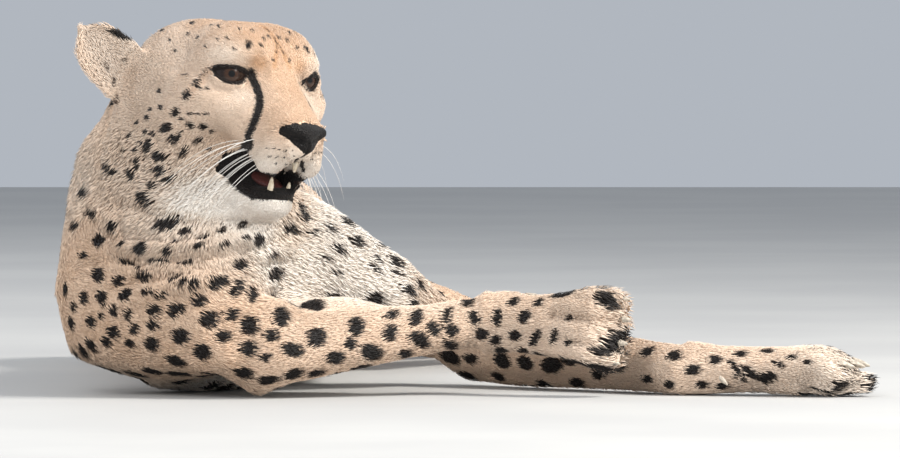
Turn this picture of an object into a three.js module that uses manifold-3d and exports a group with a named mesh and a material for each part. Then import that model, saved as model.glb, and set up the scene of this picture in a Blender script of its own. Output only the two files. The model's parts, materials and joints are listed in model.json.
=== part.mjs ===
// A life-size cheetah (Acinonyx jubatus) lying on its right side with its neck raised and its mouth a little
// open. The forelegs reach out to one side, the right paw over the left leg, and the hind legs lie drawn up.
// Millimetres, +Z up. X runs along the forelegs towards the paws, and Y from the head towards the tail.
// The body is modelled whole, as tubes and ellipsoids that flow together, and is then parted by thin cuts.
import * as THREE from "three";
import { mergeVertices } from "three/addons/utils/BufferGeometryUtils.js";
import Module from "manifold-3d";

const wasm = await Module();
wasm.setup();

// ---- driving sizes ----
const GAP = 0.4; // width of the thin cuts
const SOFT_GAP = 0.9; // space between curved faces that lie against each other
const EYE_RADIUS = 16;
const CLAW_LENGTH = 18;
const DEWCLAW_LENGTH = 13;
const CANINE_LENGTHS = { upper: 16, lower: 21 };
const EAR_HEIGHT = 50;
const EAR_HALF_WIDTH = 27;
const EAR_THICKNESS = 4;

const V = (x, y, z) => new THREE.Vector3(x, y, z);
const UP = V(0, 0, 1);
const SIDES = { right: -1, left: 1 };

// ---- fields: functions of a point that are negative inside the body and positive outside ----

// Joins two fields with a rounded valley of width k between them.
function flow(a, b, k) {
  const h = Math.max(k - Math.abs(a - b), 0) / k;
  return Math.min(a, b) - (h * h * k) / 4;
}

const together = (k, ...fields) => (p) => fields.reduce((sum, f) => flow(sum, f(p), k), 1e3);
const carved = (field, tool, k) => (p) => -flow(-field(p), tool(p), k);
const grown = (field, by) => (p) => field(p) - by;

// A field given in a local frame, read in the world.
function placed(field, frame) {
  const back = frame.clone().invert();
  const q = V(0, 0, 0);
  return (p) => field(q.copy(p).applyMatrix4(back));
}

// An ellipsoid with the given half sizes, turned by Euler angles in degrees.
function ball(centre, half, turn = V(0, 0, 0)) {
  const angles = turn.clone().multiplyScalar(Math.PI / 180);
  const back = new THREE.Quaternion().setFromEuler(new THREE.Euler(...angles)).invert();
  const q = V(0, 0, 0);
  return (p) => {
    q.copy(p).sub(centre).applyQuaternion(back);
    const near = Math.hypot(q.x / half.x, q.y / half.y, q.z / half.z);
    const slope = Math.hypot(q.x / half.x ** 2, q.y / half.y ** 2, q.z / half.z ** 2);
    return slope < 1e-6 ? -Math.min(half.x, half.y, half.z) : (near * (near - 1)) / slope;
  };
}

const station = (at, wide, tall, up = UP) => ({ at, wide, tall, up });

// Evenly spread sections of a bent tube through stations.
function sections(stations, perSpan) {
  const path = new THREE.CatmullRomCurve3(stations.map((s) => s.at), false, "centripetal");
  const spans = stations.length - 1;
  const knots = [];
  for (let i = 0; i <= spans * perSpan; i++) {
    const span = Math.min(Math.floor(i / perSpan), spans - 1);
    const [a, b] = [stations[span], stations[span + 1]];
    const t = i / perSpan - span;
    const eased = (t + t * t * (3 - 2 * t)) / 2;
    knots.push({
      at: path.getPoint(i / (spans * perSpan)),
      wide: THREE.MathUtils.lerp(a.wide, b.wide, eased),
      tall: THREE.MathUtils.lerp(a.tall, b.tall, eased),
      up: a.up.clone().lerp(b.up, eased).normalize(),
    });
  }
  return knots;
}

// A bent tube as a field. Wide and tall are half sizes across it, with tall along the station's up.
function tube(stations, perSpan = 4) {
  const knots = sections(stations, perSpan);
  const pieces = [];
  for (let i = 0; i + 1 < knots.length; i++) {
    const along = knots[i + 1].at.clone().sub(knots[i].at);
    const length = along.length();
    along.normalize();
    const side = along.clone().cross(knots[i].up).normalize();
    const over = side.clone().cross(along).normalize();
    pieces.push({ a: knots[i], b: knots[i + 1], along, length, side, over });
  }
  const reach = new THREE.Box3().setFromPoints(knots.map((k) => k.at));
  reach.expandByScalar(Math.max(...knots.map((k) => Math.max(k.wide, k.tall))));
  const d = V(0, 0, 0);
  return (p) => {
    const far = reach.distanceToPoint(p);
    if (far > 60) return far;
    let best = 1e3;
    for (const s of pieces) {
      d.copy(p).sub(s.a.at);
      const run = d.dot(s.along);
      const t = Math.min(Math.max(run / s.length, 0), 1);
      const wide = s.a.wide + (s.b.wide - s.a.wide) * t;
      const tall = s.a.tall + (s.b.tall - s.a.tall) * t;
      const least = Math.min(wide, tall);
      const past = (run - t * s.length) / least;
      const near = Math.hypot(d.dot(s.side) / wide, d.dot(s.over) / tall, past);
      best = Math.min(best, (near - 1) * least);
    }
    return best;
  };
}

// ---- surfaces and solids ----

const CORNERS = [0, 1, 2, 3, 4, 5, 6, 7].map((c) => [c & 1, (c >> 1) & 1, c >> 2]);
const EDGES = CORNERS.flatMap((_, a) => [1, 2, 4].filter((bit) => !(a & bit)).map((bit) => [a, a | bit]));

// Moves a point onto the field's surface, by at most the given distance.
function settled(field, start, most) {
  const p = start.clone();
  const e = 0.6;
  for (let pass = 0; pass < 3; pass++) {
    const slope = V(
      field(V(p.x + e, p.y, p.z)) - field(V(p.x - e, p.y, p.z)),
      field(V(p.x, p.y + e, p.z)) - field(V(p.x, p.y - e, p.z)),
      field(V(p.x, p.y, p.z + e)) - field(V(p.x, p.y, p.z - e)),
    ).divideScalar(2 * e);
    p.addScaledVector(slope, -field(p) / Math.max(slope.lengthSq(), 0.05));
  }
  return p.sub(start).clampLength(0, most).add(start);
}

// Marks from low to high whose spacing runs from the cell size at low to that at high.
function ruler(low, high, [atLow, atHigh]) {
  const count = Math.max(3, Math.ceil((2 * (high - low)) / (atLow + atHigh)));
  const lean = (atHigh - atLow) / (atHigh + atLow);
  return (i) => low + (high - low) * ((i / count) * (1 - lean) + (i / count) ** 2 * lean);
}

// The closed surface of a field inside the box low..high of a frame, as a net of cells of about the given
// sizes, each a number or a pair for the low and the high end.
function net(field, low, high, cells, frame = new THREE.Matrix4()) {
  const ends = cells.map((c) => (Array.isArray(c) ? c : [c, c]));
  const span = [high.x - low.x, high.y - low.y, high.z - low.z];
  const n = ends.map(([a, b], axis) => Math.max(3, Math.ceil((2 * span[axis]) / (a + b))) + 1);
  const marks = [ruler(low.x, high.x, ends[0]), ruler(low.y, high.y, ends[1]), ruler(low.z, high.z, ends[2])];
  const least = Math.min(...ends.flat());
  const at = (i, j, k) => (k * n[1] + j) * n[0] + i;
  const point = (i, j, k) => V(marks[0](i), marks[1](j), marks[2](k)).applyMatrix4(frame);
  const value = new Float64Array(n[0] * n[1] * n[2]);
  for (let k = 0; k < n[2]; k++)
    for (let j = 0; j < n[1]; j++)
      for (let i = 0; i < n[0]; i++) {
        const rim = i * j * k === 0 || i === n[0] - 1 || j === n[1] - 1 || k === n[2] - 1;
        const v = field(point(i, j, k));
        value[at(i, j, k)] = rim ? Math.max(v, 0.5) : v || 1e-9;
      }
  const vertexOf = new Map();
  const points = [];
  for (let k = 0; k + 1 < n[2]; k++)
    for (let j = 0; j + 1 < n[1]; j++)
      for (let i = 0; i + 1 < n[0]; i++) {
        const v = CORNERS.map(([a, b, c]) => value[at(i + a, j + b, k + c)]);
        const crossed = EDGES.filter(([a, b]) => v[a] < 0 !== v[b] < 0);
        if (!crossed.length) continue;
        const sum = V(0, 0, 0);
        for (const [a, b] of crossed) {
          const t = v[a] / (v[a] - v[b]);
          sum.add(V(...CORNERS[a]).lerp(V(...CORNERS[b]), t));
        }
        sum.divideScalar(crossed.length);
        const rim = i * j * k === 0 || i === n[0] - 2 || j === n[1] - 2 || k === n[2] - 2;
        const q = point(i + sum.x, j + sum.y, k + sum.z);
        vertexOf.set(at(i, j, k), points.length);
        points.push(rim ? q : settled(field, q, least * 0.45));
      }
  const faces = [];
  const quad = (a, b, c, d) => {
    const short = points[a].distanceTo(points[c]) < points[b].distanceTo(points[d]);
    faces.push(...(short ? [a, b, c, a, c, d] : [a, b, d, b, c, d]));
  };
  for (let k = 0; k + 1 < n[2]; k++)
    for (let j = 0; j + 1 < n[1]; j++)
      for (let i = 0; i + 1 < n[0]; i++) {
        const inside = value[at(i, j, k)] < 0;
        const around = [
          [j * k, value[at(i + 1, j, k)], [[i, j - 1, k - 1], [i, j, k - 1], [i, j, k], [i, j - 1, k]]],
          [i * k, value[at(i, j + 1, k)], [[i - 1, j, k - 1], [i - 1, j, k], [i, j, k], [i, j, k - 1]]],
          [i * j, value[at(i, j, k + 1)], [[i - 1, j - 1, k], [i, j - 1, k], [i, j, k], [i - 1, j, k]]],
        ];
        for (const [clear, next, cells] of around) {
          if (!clear || next < 0 === inside) continue;
          const q = cells.map((c) => vertexOf.get(at(...c)));
          quad(...(inside ? q : q.reverse()));
        }
      }
  const made = new THREE.BufferGeometry();
  made.setAttribute("position", new THREE.Float32BufferAttribute(points.flatMap((q) => [q.x, q.y, q.z]), 3));
  made.setIndex(faces);
  return made;
}

// The stations of a tube that is larger all round and at both ends.
function swell(stations, by) {
  const [first, last] = [stations[0].at, stations.at(-1).at];
  const longer = stations.map((s) => station(s.at.clone(), s.wide + by, s.tall + by, s.up));
  longer[0].at.add(first.clone().sub(stations[1].at).setLength(by));
  longer.at(-1).at.add(last.clone().sub(stations.at(-2).at).setLength(by));
  return longer;
}

// The closed surface of a bent tube, with a given number of sides and sections per span.
function sweep(stations, sides, perSpan) {
  const knots = sections(stations, perSpan);
  const points = [];
  knots.forEach((knot, i) => {
    const [from, to] = [knots[Math.max(i - 1, 0)], knots[Math.min(i + 1, knots.length - 1)]];
    const along = to.at.clone().sub(from.at).normalize();
    const side = along.clone().cross(knot.up).normalize();
    const over = side.clone().cross(along);
    for (let j = 0; j < sides; j++) {
      const turn = (j / sides) * 2 * Math.PI;
      const p = knot.at.clone().addScaledVector(side, knot.wide * Math.cos(turn));
      points.push(p.addScaledVector(over, knot.tall * Math.sin(turn)));
    }
  });
  const faces = [];
  for (let i = 0; i + 1 < knots.length; i++)
    for (let j = 0; j < sides; j++) {
      const [a, b] = [i * sides + j, i * sides + ((j + 1) % sides)];
      faces.push(a, a + sides, b + sides, a, b + sides, b);
    }
  const last = (knots.length - 1) * sides;
  for (let j = 1; j + 1 < sides; j++) faces.push(0, j, j + 1, last, last + j + 1, last + j);
  const made = new THREE.BufferGeometry();
  made.setAttribute("position", new THREE.Float32BufferAttribute(points.flatMap((q) => [q.x, q.y, q.z]), 3));
  made.setIndex(faces);
  return made;
}

function solid(geometry) {
  let g = geometry.clone();
  g.deleteAttribute("normal");
  g.deleteAttribute("uv");
  g = mergeVertices(g, 1e-4);
  return new wasm.Manifold(
    new wasm.Mesh({
      numProp: 3,
      vertProperties: new Float32Array(g.attributes.position.array),
      triVerts: new Uint32Array(g.index.array),
    }),
  );
}

function geometryOf(made) {
  const m = made.getMesh();
  const g = new THREE.BufferGeometry();
  g.setAttribute("position", new THREE.Float32BufferAttribute(Array.from(m.vertProperties), 3));
  g.setIndex(Array.from(m.triVerts));
  return g;
}

// The frame at a point with its X along one direction and its Z as near as possible to another.
function frameAt(origin, forward, up) {
  const x = forward.clone().normalize();
  const y = up.clone().cross(x).normalize();
  const z = x.clone().cross(y);
  return new THREE.Matrix4().makeBasis(x, y, z).setPosition(origin);
}

// Everything on the far side of a plane from its normal, as a box to intersect or subtract.
function behind(at, normal, shift = 0) {
  const reach = 2000;
  const frame = frameAt(at, normal, Math.abs(normal.z) > 0.9 ? V(0, 1, 0) : UP);
  const box = new THREE.BoxGeometry(reach, reach, reach);
  box.translate(shift - reach / 2, 0, 0);
  return solid(box.applyMatrix4(frame));
}

// A block of the given width whose face lies at a point, reaching on along an axis.
function blockFrom(at, axis, width) {
  const box = new THREE.BoxGeometry(width, width, width);
  return solid(box.translate(width / 2, 0, 0).applyMatrix4(frameAt(at, axis, UP)));
}

// ---- head, in its own frame: X forward, Y to the animal's left, Z up, origin midway between the eyes ----

const EYES_AT = V(-148, -50, 250);
const HEAD_YAW = THREE.MathUtils.degToRad(35);
const HEAD_PITCH = THREE.MathUtils.degToRad(7);
const HEAD_ROLL = THREE.MathUtils.degToRad(-4);
const EYE_SPREAD = 33.5; // from the middle to each eye
const MOUTH_CORNER = V(-6, 0, -64);
const MOUTH_SLOPE = THREE.MathUtils.degToRad(11); // of the plane between the lips

const headForward = V(
  Math.sin(HEAD_YAW) * Math.cos(HEAD_PITCH),
  -Math.cos(HEAD_YAW) * Math.cos(HEAD_PITCH),
  -Math.sin(HEAD_PITCH),
);
const headUp = UP.clone().addScaledVector(headForward, -headForward.z).normalize();
headUp.applyAxisAngle(headForward, HEAD_ROLL);
const HEAD = frameAt(EYES_AT, headForward, headUp);
const inHead = (x, y, z) => V(x, y, z).applyMatrix4(HEAD);
const alongHead = (x, y, z) => V(x, y, z).transformDirection(HEAD);

const pair = (make) => [-1, 1].map(make);
const eyeCentre = (side) => V(1, side * EYE_SPREAD, -1);

const skull = together(
  16,
  ball(V(-60, 0, -2), V(58, 55, 41)),
  ball(V(-20, 0, 9), V(40, 39, 27)),
  ball(V(-75, 0, -30), V(44, 52, 44)),
  tube([station(V(-4, 0, 8), 23, 15), station(V(26, 0, -7), 19, 14), station(V(54, 0, -27), 17, 11)]),
  ...pair((s) => ball(V(0, s * 31, 12), V(17, 20, 10), V(0, 0, s * 24))),
  ...pair((s) => ball(V(-13, s * 20, 17), V(35, 27, 25))),
  ...pair((s) => ball(V(-20, s * 48, -20), V(38, 23, 22), V(0, 0, s * -8))),
  ...pair((s) => ball(V(12, s * 28, -28), V(24, 16, 18))),
  ...pair((s) => ball(V(-46, s * 45, -44), V(42, 27, 40))),
  ball(V(-36, 0, -62), V(44, 44, 32)),
);
const muzzle = together(
  9,
  ball(V(27, 0, -42), V(35, 28, 21)),
  ...pair((s) => ball(V(45, s * 15, -48), V(21, 17, 16))),
  tube([station(V(46, 0, -31), 18, 10), station(V(64, 0, -36), 17, 8)]),
);
const chin = together(
  10,
  tube([station(V(-40, 0, -78), 34, 20), station(V(0, 0, -87), 27, 15), station(V(34, 0, -93), 18, 12)]),
  ball(V(36, 0, -93), V(13, 16, 11)),
);
const mouthGape = ball(V(42, 0, -75), V(49, 40, 9.5), V(0, THREE.MathUtils.radToDeg(MOUTH_SLOPE), 0));
const eyeHollow = (side) => ball(V(17, side * 36, -1), V(12, 15, 8), V(-side * 12, 0, side * 20));
const headShape = [...pair(eyeHollow), mouthGape].reduce(
  (shape, tool) => carved(shape, tool, 5),
  together(13, skull, muzzle, chin),
);

// ---- trunk and neck ----

// A station of the trunk, whose back leans over to the left of the view by the roll in degrees.
function rolled(at, wide, tall, roll) {
  const a = THREE.MathUtils.degToRad(roll);
  return station(at, wide, tall, V(-Math.sin(a), 0, Math.cos(a)));
}

const spine = [
  rolled(V(-200, -42, 92), 52, 62, 20),
  rolled(V(-203, 60, 98), 76, 106, 32),
  rolled(V(-187, 180, 102), 90, 124, 45),
  rolled(V(-180, 300, 94), 92, 116, 58),
  rolled(V(-192, 410, 82), 82, 98, 66),
  rolled(V(-215, 510, 74), 74, 88, 72),
  rolled(V(-238, 600, 76), 80, 94, 76),
  rolled(V(-252, 676, 58), 54, 62, 78),
];
const nape = V(-0.8, 0.55, 0.2);
const neckLine = [
  station(V(-222, 78, 128), 66, 80, nape),
  station(V(-231, 28, 180), 60, 67, nape),
  station(V(-210, 8, 232), 55, 60, nape),
];
const trunk = together(
  40,
  tube(spine),
  ball(V(-245, 110, 152), V(32, 80, 44), V(0, 20, 0)),
  ball(V(-276, 10, 86), V(36, 46, 34)),
  ball(V(-257, 22, 44), V(45, 58, 42)),
);
const neck = together(30, tube(neckLine), ball(V(-195, -28, 138), V(58, 46, 52)));

// ---- limbs: joints in the order shoulder or hip, elbow or knee, wrist or hock, with the paw's direction ----

const LEGS = {
  right_fore: {
    joints: [V(-270, 20, 92), V(-166, -84, 34), V(24, -4, 57)],
    toes: V(0.84, -0.54, -0.02),
    top: V(-0.5, -0.82, 0.25),
    curl: 20,
  },
  left_fore: {
    joints: [V(-142, 52, 116), V(-4, 172, 38), V(184, -15, 21)],
    toes: V(0.97, -0.225, 0),
    top: UP,
    curl: 0,
  },
  right_hind: {
    joints: [V(-238, 600, 46), V(-150, 372, 37), V(-84, 628, 25)],
    toes: V(0.52, 0.85, 0),
    top: V(0.5, -0.4, 0.77),
    curl: 6,
  },
  left_hind: {
    joints: [V(-232, 596, 106), V(-62, 446, 60), V(38, 690, 25.5)],
    toes: V(0.26, -0.96, 0),
    top: V(0.45, 0.12, 0.88),
    curl: 6,
  },
};

const foreUpper = ([top, bend]) => [
  station(top, 50, 56),
  station(top.clone().lerp(bend, 0.55), 44, 46),
  station(bend, 33, 32),
];
const foreLower = ([, bend, wrist], facing) => [
  station(bend, 33, 32),
  station(bend.clone().lerp(wrist, 0.3), 30, 29),
  station(bend.clone().lerp(wrist, 0.78), 22, 22),
  station(wrist, 24, 20, facing),
];
const hindUpper = ([top, bend]) => [
  station(top, 74, 52),
  station(top.clone().lerp(bend, 0.5), 64, 46),
  station(bend, 40, 35),
];
const hindLower = ([, bend, hock]) => [
  station(bend, 40, 34),
  station(bend.clone().lerp(hock, 0.4), 32, 28),
  station(hock, 22, 21),
];

// A paw in its own frame: X towards the toes, Z out of its back, origin at the wrist or hock.
const FORE_PAW = { length: 146, cannon: 24 };
const HIND_PAW = { length: 222, cannon: 22 };
const TOE_SPREAD = [-23, -8.5, 8.5, 23];
const TOE_LENGTH = 56;
const DEWCLAW = V(34, 24, -6);

// The last joint of a toe, drawn back and down by the curl of the paw.
const toeEnd = (spread, length, curl) =>
  V(length - 11 - 0.35 * Math.abs(spread) - 0.8 * curl, spread * 1.12, -3 - curl);

function pawShape({ length, cannon }, curl, inner) {
  const knuckles = length - TOE_LENGTH;
  const toes = TOE_SPREAD.map((s) =>
    tube([
      station(V(knuckles - 6, s * 0.75, 3), 11, 11),
      station(V(knuckles + 20, s, 9 - curl * 0.2), 10.5, 11),
      station(toeEnd(s, length, curl), 10, 10.5),
    ]),
  );
  const foot = tube([
    station(V(0, 0, 0), cannon, cannon * 0.85),
    station(V(knuckles * 0.5, 0, 1), cannon * 0.98, cannon * 0.72),
    station(V(knuckles, 0, 2), 29, 15),
  ]);
  const pad = ball(V(knuckles + 4, 0, -11), V(20, 23, 8));
  const dew = inner ? [ball(V(DEWCLAW.x - 4, inner * DEWCLAW.y, DEWCLAW.z), V(11, 8, 9))] : [];
  return together(6, foot, ...toes, pad, ...dew);
}

// The tail as stations on a path over the floor, with a radius at each. It sinks by the width of its flats.
const TAIL_FLAT = 1.5;
const tailLine = [
  [-252, 690, 30, 50],
  [-262, 760, 24, 32],
  [-235, 850, 19],
  [-150, 915, 18],
  [-40, 925, 17.5],
  [70, 895, 17],
  [124, 886, 15.5],
  [146, 885, 7, 13],
].map(([x, y, radius, height = radius - TAIL_FLAT]) => station(V(x, y, height), radius, radius));
const TAIL_CUTS = { tail_base: 1, tail_middle: 3, tail_tip: 5 }; // the station where each length starts

const upperLine = (name, { joints }) => (name.endsWith("fore") ? foreUpper(joints) : hindUpper(joints));
const uppers = Object.entries(LEGS).map(([name, leg]) => ({ name, line: upperLine(name, leg) }));
const bodyField = together(34, trunk, neck, tube(tailLine.slice(0, 4)), ...uppers.map(({ line }) => tube(line)));

// ---- materials ----

const matte = (color, roughness) => () => new THREE.MeshStandardMaterial({ color, roughness, metalness: 0 });
const TAN = matte(0xd2b085, 0.9);
const CREAM = matte(0xe8dcc6, 0.9);
const NOSE = matte(0x17130f, 0.45);
const IRIS = matte(0x4a2a12, 0.1);
const IVORY = matte(0xe9e2d0, 0.35);
const TONGUE = matte(0x8a4a44, 0.5);
const HORN = matte(0xcfc3b0, 0.4);

const nodes = [];
const keep = (name, made, material) => nodes.push({ name, made, material });
const largest = (made) => made.decompose().sort((a, b) => b.volume() - a.volume())[0];
const belowFloor = behind(V(0, 0, 0), UP);

// ---- head nodes ----

const headNet = (field) => solid(net(field, V(-112, -84, -126), V(84, 84, 58), [[19, 10.5], 12, 11.5], HEAD));
const headAndNape = together(22, placed(headShape, HEAD), neck);
const headField = (p) => Math.min(headAndNape(p), bodyField(p));
const headOuter = headNet(grown(headField, SOFT_GAP));

// The block of space that belongs to the head, closed behind the skull and under the throat.
function headSpace(by) {
  const box = new THREE.BoxGeometry(240 + 2 * by, 180 + 2 * by, 200 + 2 * by);
  box.translate(25, -12, -12);
  return solid(box.applyMatrix4(HEAD));
}

// A ball in the head's frame.
function headBall(centre, radius) {
  const g = new THREE.SphereGeometry(radius, 10, 8).rotateZ(-Math.PI / 2);
  return solid(g.translate(...centre).applyMatrix4(HEAD));
}

// The space of the lower jaw, in front of the mouth's corner and below the plane between the lips.
function jawSpace(by) {
  const box = new THREE.BoxGeometry(140, 200, 90);
  box.translate(70 - by, 0, -45 + by);
  box.rotateY(MOUTH_SLOPE);
  box.translate(MOUTH_CORNER.x, 0, MOUTH_CORNER.z - 3);
  return solid(box.applyMatrix4(HEAD));
}

const noseShape = together(5, ball(V(63, 0, -34.5), V(12, 21, 9)), ball(V(68, 0, -42.5), V(9, 10, 12)));
const noseNet = (by) =>
  solid(net(placed(grown(noseShape, by), HEAD), V(43, -27, -62), V(85, 27, -20), [8, 8, 7], HEAD));

const headWhole = headNet(headField).intersect(headSpace(-GAP / 2));
let head = headWhole.subtract(jawSpace(GAP / 2)).subtract(noseNet(SOFT_GAP));
for (const side of Object.values(SIDES)) head = head.subtract(headBall(eyeCentre(side), EYE_RADIUS + GAP));
keep("head", largest(head), TAN);
keep("lower_jaw", largest(headWhole.intersect(jawSpace(-GAP / 2))), CREAM);
keep("nose", noseNet(0), NOSE);
for (const [name, side] of Object.entries(SIDES)) keep(`${name}_eye`, headBall(eyeCentre(side), EYE_RADIUS), IRIS);

// An ear: a cupped leaf with a rounded tip, whose base is cut to the side of the head.
const EARS = {
  right: { base: V(-88, -69, -12), tip: V(-106, -97, 14), facing: V(0.75, -0.62, 0.1) },
  left: { base: V(-88, 60, -8), tip: V(-122, 84, 2), facing: V(0.55, 0.8, 0.1) },
};
function ear({ base, tip, facing }) {
  const along = tip.clone().sub(base).normalize();
  const front = facing.clone().projectOnPlane(along).normalize();
  const across = front.clone().cross(along);
  const rows = 5;
  const columns = 6;
  const leaf = (u, v, depth) => {
    const width = EAR_HALF_WIDTH * Math.sqrt(Math.max(1 - u ** 2.6, 0.012)) * (0.8 + 0.2 * u);
    const cup = 13 * v * v * (1 - 0.55 * u) - 4 * Math.sin(Math.PI * u);
    return base.clone()
      .addScaledVector(along, (u * 1.25 - 0.25) * EAR_HEIGHT)
      .addScaledVector(across, v * width)
      .addScaledVector(front, cup + depth * (1 - 0.45 * v * v));
  };
  const points = [];
  for (const depth of [EAR_THICKNESS / 2, -EAR_THICKNESS / 2])
    for (let r = 0; r <= rows; r++)
      for (let c = 0; c <= columns; c++) points.push(leaf(r / rows, (c / columns) * 2 - 1, depth));
  const near = (r, c) => r * (columns + 1) + c;
  const far = (r, c) => (rows + 1) * (columns + 1) + near(r, c);
  const faces = [];
  const quad = (a, b, c, d) => faces.push(a, c, b, a, d, c);
  for (let r = 0; r < rows; r++)
    for (let c = 0; c < columns; c++) {
      quad(near(r, c), near(r, c + 1), near(r + 1, c + 1), near(r + 1, c));
      quad(far(r, c), far(r + 1, c), far(r + 1, c + 1), far(r, c + 1));
    }
  for (let r = 0; r < rows; r++) {
    quad(near(r, 0), near(r + 1, 0), far(r + 1, 0), far(r, 0));
    quad(near(r, columns), far(r, columns), far(r + 1, columns), near(r + 1, columns));
  }
  for (let c = 0; c < columns; c++) {
    quad(near(0, c), far(0, c), far(0, c + 1), near(0, c + 1));
    quad(near(rows, c), near(rows, c + 1), far(rows, c + 1), far(rows, c));
  }
  const made = new THREE.BufferGeometry();
  made.setAttribute("position", new THREE.Float32BufferAttribute(points.flatMap((p) => [p.x, p.y, p.z]), 3));
  made.setIndex(faces);
  return largest(solid(made.applyMatrix4(HEAD)).subtract(headOuter));
}
for (const [name, shape] of Object.entries(EARS)) keep(`${name}_ear`, ear(shape), TAN);

// A curved, tapering spike from a root along one direction, bowed towards another.
function spike(root, along, bow, length, radius, sag) {
  const steps = 2;
  const profile = [new THREE.Vector2(0, 0)];
  for (let i = 0; i < steps; i++)
    profile.push(new THREE.Vector2(radius * Math.sqrt(1 - i / steps), (i / steps) * length));
  profile.push(new THREE.Vector2(0, length));
  const g = new THREE.LatheGeometry(profile, 4).rotateZ(-Math.PI / 2);
  const p = g.attributes.position;
  for (let i = 0; i < p.count; i++) p.setZ(i, p.getZ(i) + sag * (p.getX(i) / length) ** 2);
  return solid(g.applyMatrix4(frameAt(root, along, bow)));
}

const CANINES = {
  upper_right_canine: [V(48, -12, -60), V(0.05, -0.02, -1)],
  upper_left_canine: [V(48, 12, -60), V(0.05, 0.02, -1)],
  lower_right_canine: [V(43, -8, -91), V(0.15, -0.04, 1)],
  lower_left_canine: [V(43, 8, -91), V(0.15, 0.04, 1)],
};
for (const [name, [root, along]] of Object.entries(CANINES)) {
  const length = CANINE_LENGTHS[name.split("_")[0]];
  const tooth = spike(inHead(...root), alongHead(...along), headForward, length, 4.2, -2);
  keep(name, largest(tooth.subtract(headOuter)), IVORY);
}
const tongue = new THREE.SphereGeometry(1, 8, 5).scale(21, 11, 4.5).rotateY(MOUTH_SLOPE);
tongue.translate(25, 0, -78).applyMatrix4(HEAD);
keep("tongue", largest(solid(tongue).subtract(headOuter)), TONGUE);

// ---- leg nodes ----

const cutter = (made, ...others) => others.reduce((rest, other) => rest.subtract(other), made);
const limbs = {};
for (const [name, { joints, toes, top, curl }] of Object.entries(LEGS)) {
  const [, bend, end] = joints;
  const fore = name.endsWith("fore");
  const inner = fore ? -SIDES[name.split("_")[0]] : 0; // the side of the dewclaw
  const paw = fore ? FORE_PAW : HIND_PAW;
  const line = fore ? foreLower(joints, top) : hindLower(joints);
  const frame = frameAt(end, toes, top);
  const axis = end.clone().sub(bend).normalize();
  const start = bend.clone().addScaledVector(axis, 16);
  const wrist = axis.clone().add(toes.clone().normalize()).normalize();
  const shape = together(10, placed(pawShape(paw, curl, inner), frame), tube(line));
  const shin = (by) => {
    const made = solid(sweep(line.map((s) => station(s.at, s.wide + by, s.tall + by, s.up)), 10, 2));
    return cutter(made, behind(start, axis, GAP / 2 - by), behind(end, wrist.clone().negate(), GAP / 2 - by));
  };
  const foot = (by) => {
    const high = V(paw.length + 8, 42, 32 + curl * 0.2);
    const made = net(grown(shape, by), V(-45, -42, -34 - curl), high, [[fore ? 24 : 32, 11.5], 11.2, 11.5], frame);
    return solid(made).subtract(behind(end, wrist, GAP / 2 - by));
  };
  limbs[name] = { name, shin, foot, start, axis, frame, paw, curl, inner };
}
const reachOf = ({ shin, foot }) => [shin(SOFT_GAP), foot(SOFT_GAP)];
for (const side of Object.keys(SIDES))
  for (const end of ["fore", "hind"]) {
    const limb = limbs[`${side}_${end}`];
    const others = side === "left" ? reachOf(limbs[`right_${end}`]) : [];
    limb.shinNode = largest(cutter(limb.shin(0), belowFloor, ...others));
    limb.footNode = largest(cutter(limb.foot(0), belowFloor, ...others));
    keep(`${side}_${end}_lower_leg`, limb.shinNode, TAN);
    keep(`${side}_${end}_paw`, limb.footNode, TAN);
  }

// ---- claws ----
for (const { name, foot, footNode, frame, paw, curl, inner } of Object.values(limbs)) {
  const around = foot(SOFT_GAP);
  const ahead = (x, y, z) => V(x, y, z).transformDirection(frame);
  TOE_SPREAD.forEach((spread, i) => {
    const root = toeEnd(spread, paw.length, curl).add(V(3, 0, 9 + curl * 0.3)).applyMatrix4(frame);
    const claw = spike(root, ahead(1, 0, -0.12), ahead(0, 0, 1), CLAW_LENGTH, 4.2, -3);
    keep(`${name}_claw_${i + 1}`, largest(cutter(claw, around, footNode, belowFloor)), HORN);
  });
  if (!inner) continue;
  const root = V(DEWCLAW.x, inner * DEWCLAW.y, DEWCLAW.z).applyMatrix4(frame);
  const claw = spike(root, ahead(0.8, inner * 0.3, -0.5), ahead(0, 0, 1), DEWCLAW_LENGTH, 3, -2);
  keep(`${name}_dewclaw`, largest(cutter(claw, around, footNode, belowFloor)), HORN);
}

// ---- body nodes ----

const UPPER_LEG_REACH = 14; // how far the nodes of the upper legs reach past their muscles
const bodyNet = net(bodyField, V(-345, -150, -8), V(45, 800, 285), [46, [43, 56], 40]);
const limbSpace = Object.values(limbs).flatMap(reachOf);

// The space before (1) or after (-1) the cut across the tail at a station.
function acrossTail(i, side) {
  const along = tailLine[i + 1].at.clone().sub(tailLine[i - 1].at).multiplyScalar(side);
  return behind(tailLine[i].at, along, GAP / 2);
}
let body = cutter(solid(bodyNet), belowFloor, headSpace(GAP / 2), acrossTail(TAIL_CUTS.tail_base, -1));
for (const { name, line } of uppers) {
  const swollen = (by) => solid(sweep(swell(line, by), 10, 2));
  const { start, axis } = limbs[name];
  const piece = cutter(body.intersect(swollen(UPPER_LEG_REACH)), blockFrom(start, axis, 110), ...limbSpace);
  keep(`${name}_upper_leg`, largest(piece), TAN);
  body = body.subtract(swollen(UPPER_LEG_REACH + GAP));
}
body = cutter(body, ...limbSpace);
const cuts = [
  ["neck", V(-225, 40, 158), V(0.05, 0.4, -0.9)],
  ["chest", V(-185, 215, 100), V(0, 1, 0)],
  ["belly", V(-205, 455, 70), V(-0.2, 0.98, 0)],
];
let rest = body;
for (const [name, at, normal] of cuts) {
  keep(name, largest(rest.subtract(behind(at, normal.clone().negate(), GAP / 2))), TAN);
  rest = rest.subtract(behind(at, normal, GAP / 2));
}
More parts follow.
